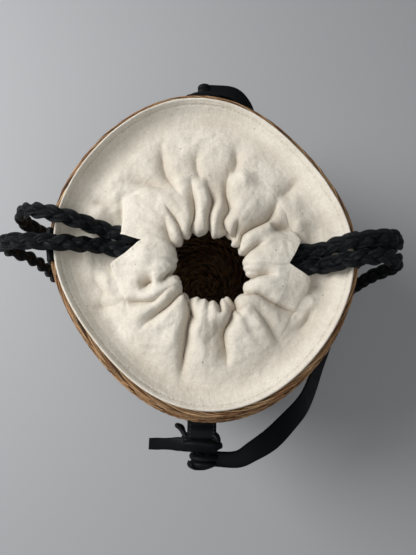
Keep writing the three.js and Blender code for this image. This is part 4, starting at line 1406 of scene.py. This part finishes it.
def swept(name, centres, across, faces, widths, thicknesses, section, closed=False):
    """A strip whose section holds [share of the half width, share of the half thickness]."""
    rows = [[centre + side * wide / 2 * a + face * thick / 2 * b for a, b in section]
            for centre, side, face, wide, thick in zip(centres, across, faces, widths,
                                                       thicknesses)]
    count = len(section)
    last = (len(centres) - 1) * count
    quads = grid_faces(len(centres), count, closed=True)
    if closed:
        quads += [(last + j, last + (j + 1) % count, (j + 1) % count, j) for j in range(count)]
    else:
        quads += [tuple(range(count))[::-1], tuple(range(last, last + count))]
    return face_outward(new_object(name, mesh_from(name, np.reshape(rows, (-1, 3)), quads)))


CORNER_ACROSS = 0.112
CORNER_UP = 0.704
CORNER_STEPS = 3


def strip_section():
    """A flat strip's outline with rounded edges, in shares of its half sizes."""
    outline = []
    for turn, (cx, cy) in enumerate(((1, 1), (-1, 1), (-1, -1), (1, -1))):
        for k in range(CORNER_STEPS + 1):
            a = math.pi / 2 * (turn + k / CORNER_STEPS)
            outline.append((cx * (1 - CORNER_ACROSS) + CORNER_ACROSS * math.cos(a),
                            cy * (1 - CORNER_UP) + CORNER_UP * math.sin(a)))
    return outline


def strip_frames(line, looks):
    along = unit(np.gradient(line, axis=0))
    across = unit(np.cross(along, looks))
    return across, np.cross(across, along)


# The strap's way from the front knot to the rear one: (degrees round the basket, distance off
# the wall, share of the rise from the floor to the tab, how far its face looks outward and up)
STRAP_ROUTE = [
    (-80.2, 31.5, 0.975, 0, 1), (-75.8, 28.5, 0.962, 0, 1), (-69.5, 25.5, 0.92, 0.05, 1),
    (-62.6, 22.5, 0.84, 0.12, 1), (-55, 23, 0.715, 0.2, 1), (-49.6, 24.5, 0.59, 0.28, 1),
    (-43.8, 26.5, 0.455, 0.36, 1), (-36.3, 30, 0.31, 0.5, 1), (-27.5, 36, 0.185, 0.65, 1),
    (-17, 43, 0.095, 0.8, 1), (-7, 46.5, 0.03, 0.9, 1), (0, 47.5, 0, 1, 1),
    (8, 46.5, 0.025, 0.95, 1), (19, 42, 0.075, 0.9, 0.9), (30, 33, 0.15, 1, 0.8),
    (40, 23.5, 0.25, 1, 0.7), (48, 19, 0.365, 1, 0.6), (55, 17, 0.49, 1, 0.6),
    (61, 16.5, 0.61, 0.95, 0.7), (66.5, 17.5, 0.725, 0.75, 0.85), (71.5, 20.5, 0.83, 0.45, 1),
    (76, 27.5, 0.925, 0.15, 1), (80.2, 32.3, 0.97, 0, 1),
]
KNOT_FRONT = TAB_REACH + 2 * CLEAR + KNOT_BAND
PIVOT_DROP = 2.0
STRAP_POINTS = 230
NECK_BLEND = (12, 68)
END_ROUNDING = 5.0


def strap_stations():
    seat = STRAP_FLOOR_GAP + math.sqrt(0.5) * (STRAP_WIDTH / 2 + STRAP_THICKNESS / 2)
    neck_y = -(WALL_FACE + KNOT_FRONT + CLEAR + STRAP_NECK / 2)
    neck = [(x, neck_y, TAB_HEIGHT - PIVOT_DROP, 0, 0, 1) for x in (0, 8)]
    rows = list(neck)
    for degrees, stand, share, outward, upward in STRAP_ROUTE:
        a = math.radians(degrees)
        z = mix(seat, TAB_HEIGHT, share)
        r = float(wall_radius(z) + out_of_round(a, z)) + stand
        rows.append((*polar(r, a, z), *unit(polar(outward, a, upward))))
    rows += [(x, -y, *rest) for x, y, *rest in neck[::-1]]
    return np.array(rows, float)


def make_strap():
    stations = smooth_line(strap_stations(), STRAP_POINTS)
    line = stations[:, :3]
    across, face = strip_frames(line, unit(stations[:, 3:]))
    long = lengths_along(line)
    from_end = np.minimum(long, long[-1] - long)
    spread = smoothstep(from_end, *NECK_BLEND)
    ends = np.sqrt(np.clip(from_end / END_ROUNDING, 0.04, 1.0))
    widths = mix(STRAP_NECK, STRAP_WIDTH, spread) * ends
    thick = mix(2 * STRAP_THICKNESS, STRAP_THICKNESS, spread) * ends
    return swept("shoulder_strap_leather", line, across, face, widths, thick, strip_section())


dress(make_strap(), "strap", "strap_leather", "shoulder_strap", material=STRAP_LEATHER)


# Leather on the bag: rim guards, strap tabs, patches behind them and the strap's knots

def squared(value, power):
    """A sine or a cosine brought nearer to a square wave by a power below 1."""
    return math.copysign(abs(value) ** power, value)


def round_section(count=16, power=0.62):
    """A soft rounded section in shares of its half sizes."""
    return [(squared(math.cos(a), power), squared(math.sin(a), power))
            for a in np.linspace(0, TAU, count, endpoint=False)]


def plate(name, points, thickness):
    """A leather sheet from a grid of points, with thickness and rounded edges."""
    points = np.array(points)
    mesh = mesh_from(name, points.reshape(-1, 3), grid_faces(*points.shape[:2]))
    piece = face_outward(thicken(new_object(name, mesh), thickness))
    rounding = piece.modifiers.new("edge_rounding", "BEVEL")
    rounding.width = thickness * 0.35 * MM
    rounding.segments = 2
    rounding.limit_method = "ANGLE"
    rounding.angle_limit = math.radians(50)
    return settle(piece)


GUARD_MIDDLES = {"left": 180.0, "right": -1.5}
GUARD_LENGTH = 28.0
GUARD_PATH = [
    (120.1, 228.8), (120.0, 231.4), (120.3, 233.8), (121.3, 235.2), (122.8, 235.2),
    (124.3, 233.2), (125.2, 228.5), (126.5, 221.6),
]
GUARD_THICKNESS = 1.8
GUARD_STEPS = 30
GUARD_ROWS = 34
RIM_RADIUS = 123.0
# Rows over which the outer corners round off, those that the seams cross and a seam's column
CORNER_ROWS = (28, 33)
SEAM_ROWS = slice(18, 31)
SEAM_COLUMN = 3
THREAD_RISE = 0.1


def make_guard(name, side):
    """A leather guard over the rim under a loop, and its two seams."""
    middle = math.radians(GUARD_MIDDLES[side])
    half = GUARD_LENGTH / 2 / RIM_RADIUS
    rows, outward = [], []
    for k, (radius, z) in enumerate(smooth_line(GUARD_PATH, GUARD_ROWS)):
        corner = 1 - 0.12 * float(smoothstep(k, *CORNER_ROWS)) ** 2
        angle = middle + half * corner * np.linspace(-1, 1, GUARD_STEPS)
        r = radius + out_of_round(angle, RIM_HEIGHT)
        sag = 0.5 * low_noise(r * np.cos(angle), r * np.sin(angle), z, 11.0, 2.0)
        rows.append(polar(r + sag, angle, z))
        outward.append(polar(1.0, angle, 0.0))
    guard = plate(name, rows, GUARD_THICKNESS)
    lift = GUARD_THICKNESS / 2 + 0.15
    seams = []
    for column in (SEAM_COLUMN, GUARD_STEPS - 1 - SEAM_COLUMN):
        line, looks = (np.array(grid)[SEAM_ROWS, column] for grid in (rows, outward))
        seams.append((line + looks * lift, looks, False))
    return guard, seams


TAB_LAYER_PATH = [
    (-12.5, -1.05), (-4.0, -1.1), (0.8, -1.2), (3.0, -2.5), (5.6, -4.2), (8.5, -4.6),
    (11.4, -4.55), (14.2, -3.2), (15.5, 0.0), (14.2, 3.2), (11.4, 4.55), (8.5, 4.6),
    (5.6, 4.2), (3.0, 2.5), (0.8, 1.2), (-4.0, 1.1), (-12.5, 1.05),
]
TAB_POINTS = 90
SEAM_INSET = 2.6
TAB_SEAM = (0.5, 13.0)


def outward_point(x, out, up, front):
    """A point out from the wall at a tab; front is 1 at the front tab and -1 at the rear."""
    return (TAB_OFFSET + x, -front * (WALL_FACE + out), TAB_HEIGHT + up)


def make_tab(name, front):
    """A strap tab, folded out through the wall and back, and the seams at its edges."""
    path = smooth_line(TAB_LAYER_PATH, TAB_POINTS)
    line = np.array([outward_point(0, out, up, front) for out, up in path])
    across = every([1.0, 0.0, 0.0], len(line))
    face = np.cross(across, unit(np.gradient(line, axis=0)))
    share = np.linspace(0, 1, len(line))
    widths = TAB_WIDTH * (1 - 0.05 * np.exp(-((share - 0.5) / 0.12) ** 2))
    piece = swept(name, line, across, face, widths, np.full(len(line), TAB_LEATHER),
                  strip_section())
    rows = path[(path[:, 1] > 0) & (path[:, 0] > TAB_SEAM[0]) & (path[:, 0] < TAB_SEAM[1])]
    seams = []
    for x in (-TAB_WIDTH / 2 + SEAM_INSET, TAB_WIDTH / 2 - SEAM_INSET):
        points = np.array([outward_point(x, out, up + TAB_LEATHER / 2 + THREAD_RISE, front)
                           for out, up in rows])
        seams.append((points, every([0.0, 0.0, 1.0], len(points)), False))
    return piece, seams


PATCH_HALF = (18.0, 12.0)
PATCH_DEPTH = WALL + CLEAR + 1.4
PATCH_GRID = (25, 17)
# How much the sides draw in at the corners, and the power that keeps this to the corners
PATCH_DRAW = (0.13, 0.18)
PATCH_POWER = 7
PATCH_SEAM_POINTS = 64
PATCH_SEAM_POWER = 0.3


def make_patch(name, front):
    """A leather patch inside the wall behind a tab, and the seam round it."""
    half_wide, half_tall = PATCH_HALF

    def on_wall(u, v, extra=0.0):
        z = TAB_HEIGHT + v
        angle = FRONT * front + front * (TAB_OFFSET + u) / BELLY_RADIUS
        radius = float(wall_radius(z) + out_of_round(angle, z)) - PATCH_DEPTH - extra
        return polar(radius, angle, z)

    rows = [[on_wall(half_wide * u * (1 - PATCH_DRAW[0] * abs(v) ** PATCH_POWER),
                     half_tall * v * (1 - PATCH_DRAW[1] * abs(u) ** PATCH_POWER))
             for u in np.linspace(-1, 1, PATCH_GRID[0])]
            for v in np.linspace(-1, 1, PATCH_GRID[1])]
    ring = np.array([on_wall(squared(math.cos(a), PATCH_SEAM_POWER) * (half_wide - SEAM_INSET),
                             squared(math.sin(a), PATCH_SEAM_POWER) * (half_tall - SEAM_INSET),
                             TAB_LEATHER / 2 + THREAD_RISE)
                     for a in np.linspace(0, TAU, PATCH_SEAM_POINTS, endpoint=False)])
    inward = unit(-ring * np.array([1.0, 1.0, 0.0]))
    return plate(name, rows, TAB_LEATHER), [(ring, inward, True)]


KNOT_POINTS = 80


def knot_strip(name, path, front, width, thickness, look, closed=False, round_ends=0.0):
    """A soft strip of the knot along [x, out, up] points. look is the way its face looks; a
    closed strip goes round level instead, with its width upright."""
    if closed:
        line = smooth_line([*path, path[0]], KNOT_POINTS)[:-1]
    else:
        line = smooth_line(path, KNOT_POINTS)
    line = np.array([outward_point(x, out, up, front) for x, out, up in line])
    if closed:
        along = unit(np.roll(line, -1, axis=0) - np.roll(line, 1, axis=0))
        across = every([0.0, 0.0, 1.0], len(line))
        face = np.cross(across, along)
    else:
        across, face = strip_frames(line, every((look[0], -front * look[1], look[2]),
                                                len(line)))
    share = np.linspace(0, 1, len(line))
    ends = 1 - round_ends * (1 - smoothstep(np.minimum(share, 1 - share), 0, 0.1))
    widths, thick = (np.interp(share, np.linspace(0, 1, len(sizes)), sizes) * ends
                     for sizes in (width, thickness))
    wave = low_noise(*line.T, 7.0, 5.0)
    return swept(name, line, across, face, widths * (1 + 0.06 * wave),
                 thick * (1 - 0.08 * wave), round_section(), closed)


KNOT_RING = [
    (-9.5, 9.6, 0.0), (0.0, 9.2, 0.0), (8.4, 9.4, 0.0), (12.0, 10.4, 0.6), (13.4, 13.2, 1.0),
    (12.4, 16.4, 0.6), (8.0, 18.8, -0.2), (0.0, 19.8, -0.6), (-9.0, 19.8, -0.4),
    (-14.2, 18.2, 0.2), (-15.6, 14.4, 0.4), (-14.0, 10.6, 0.2),
]
KNOT_RING_WIDTHS = [5.8, 5.6, 5.8, 10.5, 13.8, 14.5, 14.8, 14.8, 14.8, 14.6, 14.0, 11.0, 5.8]
KNOT_RING_THICKNESSES = [5.0, 5.0, 5.2, 5.6, 5.6, 5.6, 5.8, 5.6, 5.8, 6.2, 6.2, 5.8, 5.0]
KNOT_CROSSING = [
    (-13.6, 18.4, -6.0), (-13.6, 17.6, 3.0), (-8.0, 17.0, 7.4), (-1.0, 17.2, 8.4),
    (6.0, 17.6, 8.4), (10.6, 18.0, 6.6), (13.0, 18.2, 3.0), (13.2, 18.2, -1.4),
    (11.0, 18.2, -6.6),
]
KNOT_TAIL_PATHS = {
    1: [(-8.0, 16.6, 4.6), (-14.0, 16.4, 4.0), (-20.0, 16.4, 2.6), (-28.0, 16.4, 1.8),
        (-37.0, 16.4, 1.6), (-45.2, 16.2, 2.4)],
    -1: [(-10.0, 15.0, 4.0), (-16.8, 14.8, 0.0), (-19.0, 15.0, -10.0), (-18.6, 14.8, -20.0),
         (-17.6, 14.6, -28.4)],
}
KNOT_LOOP = [
    (-10.5, 14.0, 4.6), (-14.6, 9.0, 3.6), (-18.6, 4.6, -1.0), (-22.4, 3.2, -8.0),
    (-22.0, 3.4, -13.0), (-18.0, 4.4, -10.0), (-15.5, 8.0, -3.0), (-12.5, 13.4, 1.6),
]
# The strap's turn of each knot: its radius and its thickness, at the front and at the rear
STRAP_TURNS = {1: (7.6, 10.2), -1: (4.4, 5.6)}
# The wraps of a turn: the place across the neck, the size and where its slant starts
STRAP_WRAPS = [(-0.225, 1.0, 0.4), (0.235, 0.93, 2.6)]
TURN_POINTS = 48
TURN_GAP = 0.4
TURN_SLANT = 0.035
# The front turn's lap over its wraps: (share of its reach sideways, distance out from the
# wraps' face, share of its reach upward)
LAP_REACH = 0.9
LAP_RISE = 0.5
LAP_PATH = [(-0.92, -6.5, 0.5), (-0.8, -1.6, 0.42), (-0.35, 0.0, 0.16), (0.2, 0.3, -0.14),
            (0.74, -1.4, -0.42), (0.9, -6.5, -0.5)]
LAP_WIDTHS = [7.0, 9.5, 10.0, 9.0, 7.0]
LAP_THICKNESSES = [2.0, 2.8, 2.8, 2.0]


def make_knot(end, front):
    ring = knot_strip(f"strap_knot_{end}_wrap", KNOT_RING, front, KNOT_RING_WIDTHS,
                      KNOT_RING_THICKNESSES, (0, 0, 1), closed=True)
    crossing = knot_strip(f"strap_knot_{end}_crossing", KNOT_CROSSING, front,
                          [7, 10, 10.5, 10.5, 10.5, 9, 7], [5.5, 6.6, 6.6, 5.5], (0, 0.5, 1),
                          round_ends=0.5)
    look = (0, 0, 1) if front > 0 else (0, 1, 0)
    tail = knot_strip(f"strap_knot_{end}_tail", KNOT_TAIL_PATHS[front], front,
                      [11.6, 11.6, 11.4, 10.2, 9.8, 9.8, 9.8], [6.4, 4.0, 2.6, 2.3, 2.2], look)
    loop = knot_strip(f"strap_knot_{end}_loop", KNOT_LOOP, front, [3.6, 3.4, 3.6],
                      [2.8, 2.6, 2.8], (0, 0, 1))
    return [ring, crossing, tail, loop]


def make_strap_turn(end, front):
    """The strap's own turn of the knot, wrapped round the line that the strap swings about."""
    turns = np.linspace(0, TAU, TURN_POINTS, endpoint=False)
    middle = KNOT_FRONT + CLEAR + STRAP_NECK / 2 + TURN_GAP
    ring, thickness = STRAP_TURNS[front]
    x, up = np.cos(turns), np.sin(turns)
    face = np.stack([x, 0 * turns, up], axis=1)
    across = every([0.0, 1.0, 0.0], TURN_POINTS)
    wraps = []
    for number, (offset, size, phase) in enumerate(STRAP_WRAPS):
        out = middle + STRAP_NECK * (offset + TURN_SLANT * np.sin(turns + phase))
        line = np.stack([ring * size * x, -front * (WALL_FACE + out),
                         TAB_HEIGHT - PIVOT_DROP + ring * size * up], axis=1)
        wave = low_noise(*line.T, 6.0, 8.0 + front + number)
        wraps.append(swept(f"strap_turn_{end}_{number + 1}", line, across, face,
                           STRAP_NECK * (0.46 + 0.03 * wave),
                           thickness * size * (1 + 0.14 * wave), round_section(20, 0.85),
                           closed=True))
    if front > 0:
        reach = LAP_REACH * (ring + thickness / 2)
        wraps_face = middle + STRAP_NECK / 2 + LAP_RISE
        lap = [(x * reach, wraps_face + out, up * reach - PIVOT_DROP) for x, out, up in LAP_PATH]
        wraps.append(knot_strip(f"strap_turn_{end}_lap", lap, front, LAP_WIDTHS,
                                LAP_THICKNESSES, (0, 1, 0), round_ends=0.4))
    return wraps


leather_seams = []
for side in GUARD_MIDDLES:
    guard, seams = make_guard(f"rim_guard_{side}_leather", side)
    dress(guard, "bag", "strap_leather", f"rim_guard_{side}", material=STRAP_LEATHER)
    leather_seams += seams
for end, front in (("front", 1), ("rear", -1)):
    for node, make in ((f"strap_tab_{end}", make_tab), (f"tab_patch_{end}", make_patch)):
        piece, seams = make(f"{node}_leather", front)
        dress(piece, "bag", "strap_leather", node, material=STRAP_LEATHER)
        leather_seams += seams
    for wrap in make_strap_turn(end, front):
        dress(wrap, "strap", "strap_leather", material=STRAP_LEATHER)
    for piece in make_knot(end, front):
        dress(piece, "bag", "strap_leather", f"strap_knot_{end}", material=STRAP_LEATHER)
stitch_piece("leather_stitches", leather_seams, "strap_leather", LEATHER_THREAD, Pitch=3.0,
             Stitch_Length=2.2, Thread=0.7)


# Floor, light and the picture's settings

FLOOR_REACH = 3000
LIT_SPOT = Vector((0, 0, 0.15))


def make_stage():
    points = [(x * FLOOR_REACH, y * FLOOR_REACH, 0)
              for x, y in ((-1, -1), (1, -1), (1, 1), (-1, 1))]
    floor = new_object("floor", mesh_from("floor", points, [(0, 1, 2, 3)], smooth=False))
    material, tree, shader = surface_material("pale_floor")
    feed_all(tree, shader, Base_Color=(0.40, 0.408, 0.42, 1), Roughness=0.75,
             Specular_IOR_Level=0.25)
    floor.data.materials.append(material)


def area_light(name, place, size, power):
    """A round lamp that looks at the bag."""
    lamp = bpy.data.lights.new(name, "AREA")
    lamp.shape = "DISK"
    lamp.size = size
    lamp.energy = power
    light = new_object(name, lamp)
    light.location = place
    light.rotation_euler = (LIT_SPOT - Vector(place)).to_track_quat("-Z", "Y").to_euler()


make_stage()
area_light("window_light", (-0.95, 0.3, 0.95), 0.8, 17.5)
area_light("soft_fill", (0.2, -0.5, 1.7), 1.4, 5.5)
world = bpy.data.worlds.new("studio")
bpy.context.scene.world = world
world.use_nodes = True
feed_all(world.node_tree, world.node_tree.nodes["Background"], Color=(0.93, 0.96, 1.0, 1),
         Strength=0.2)
bpy.context.scene.view_settings.view_transform = "Standard"
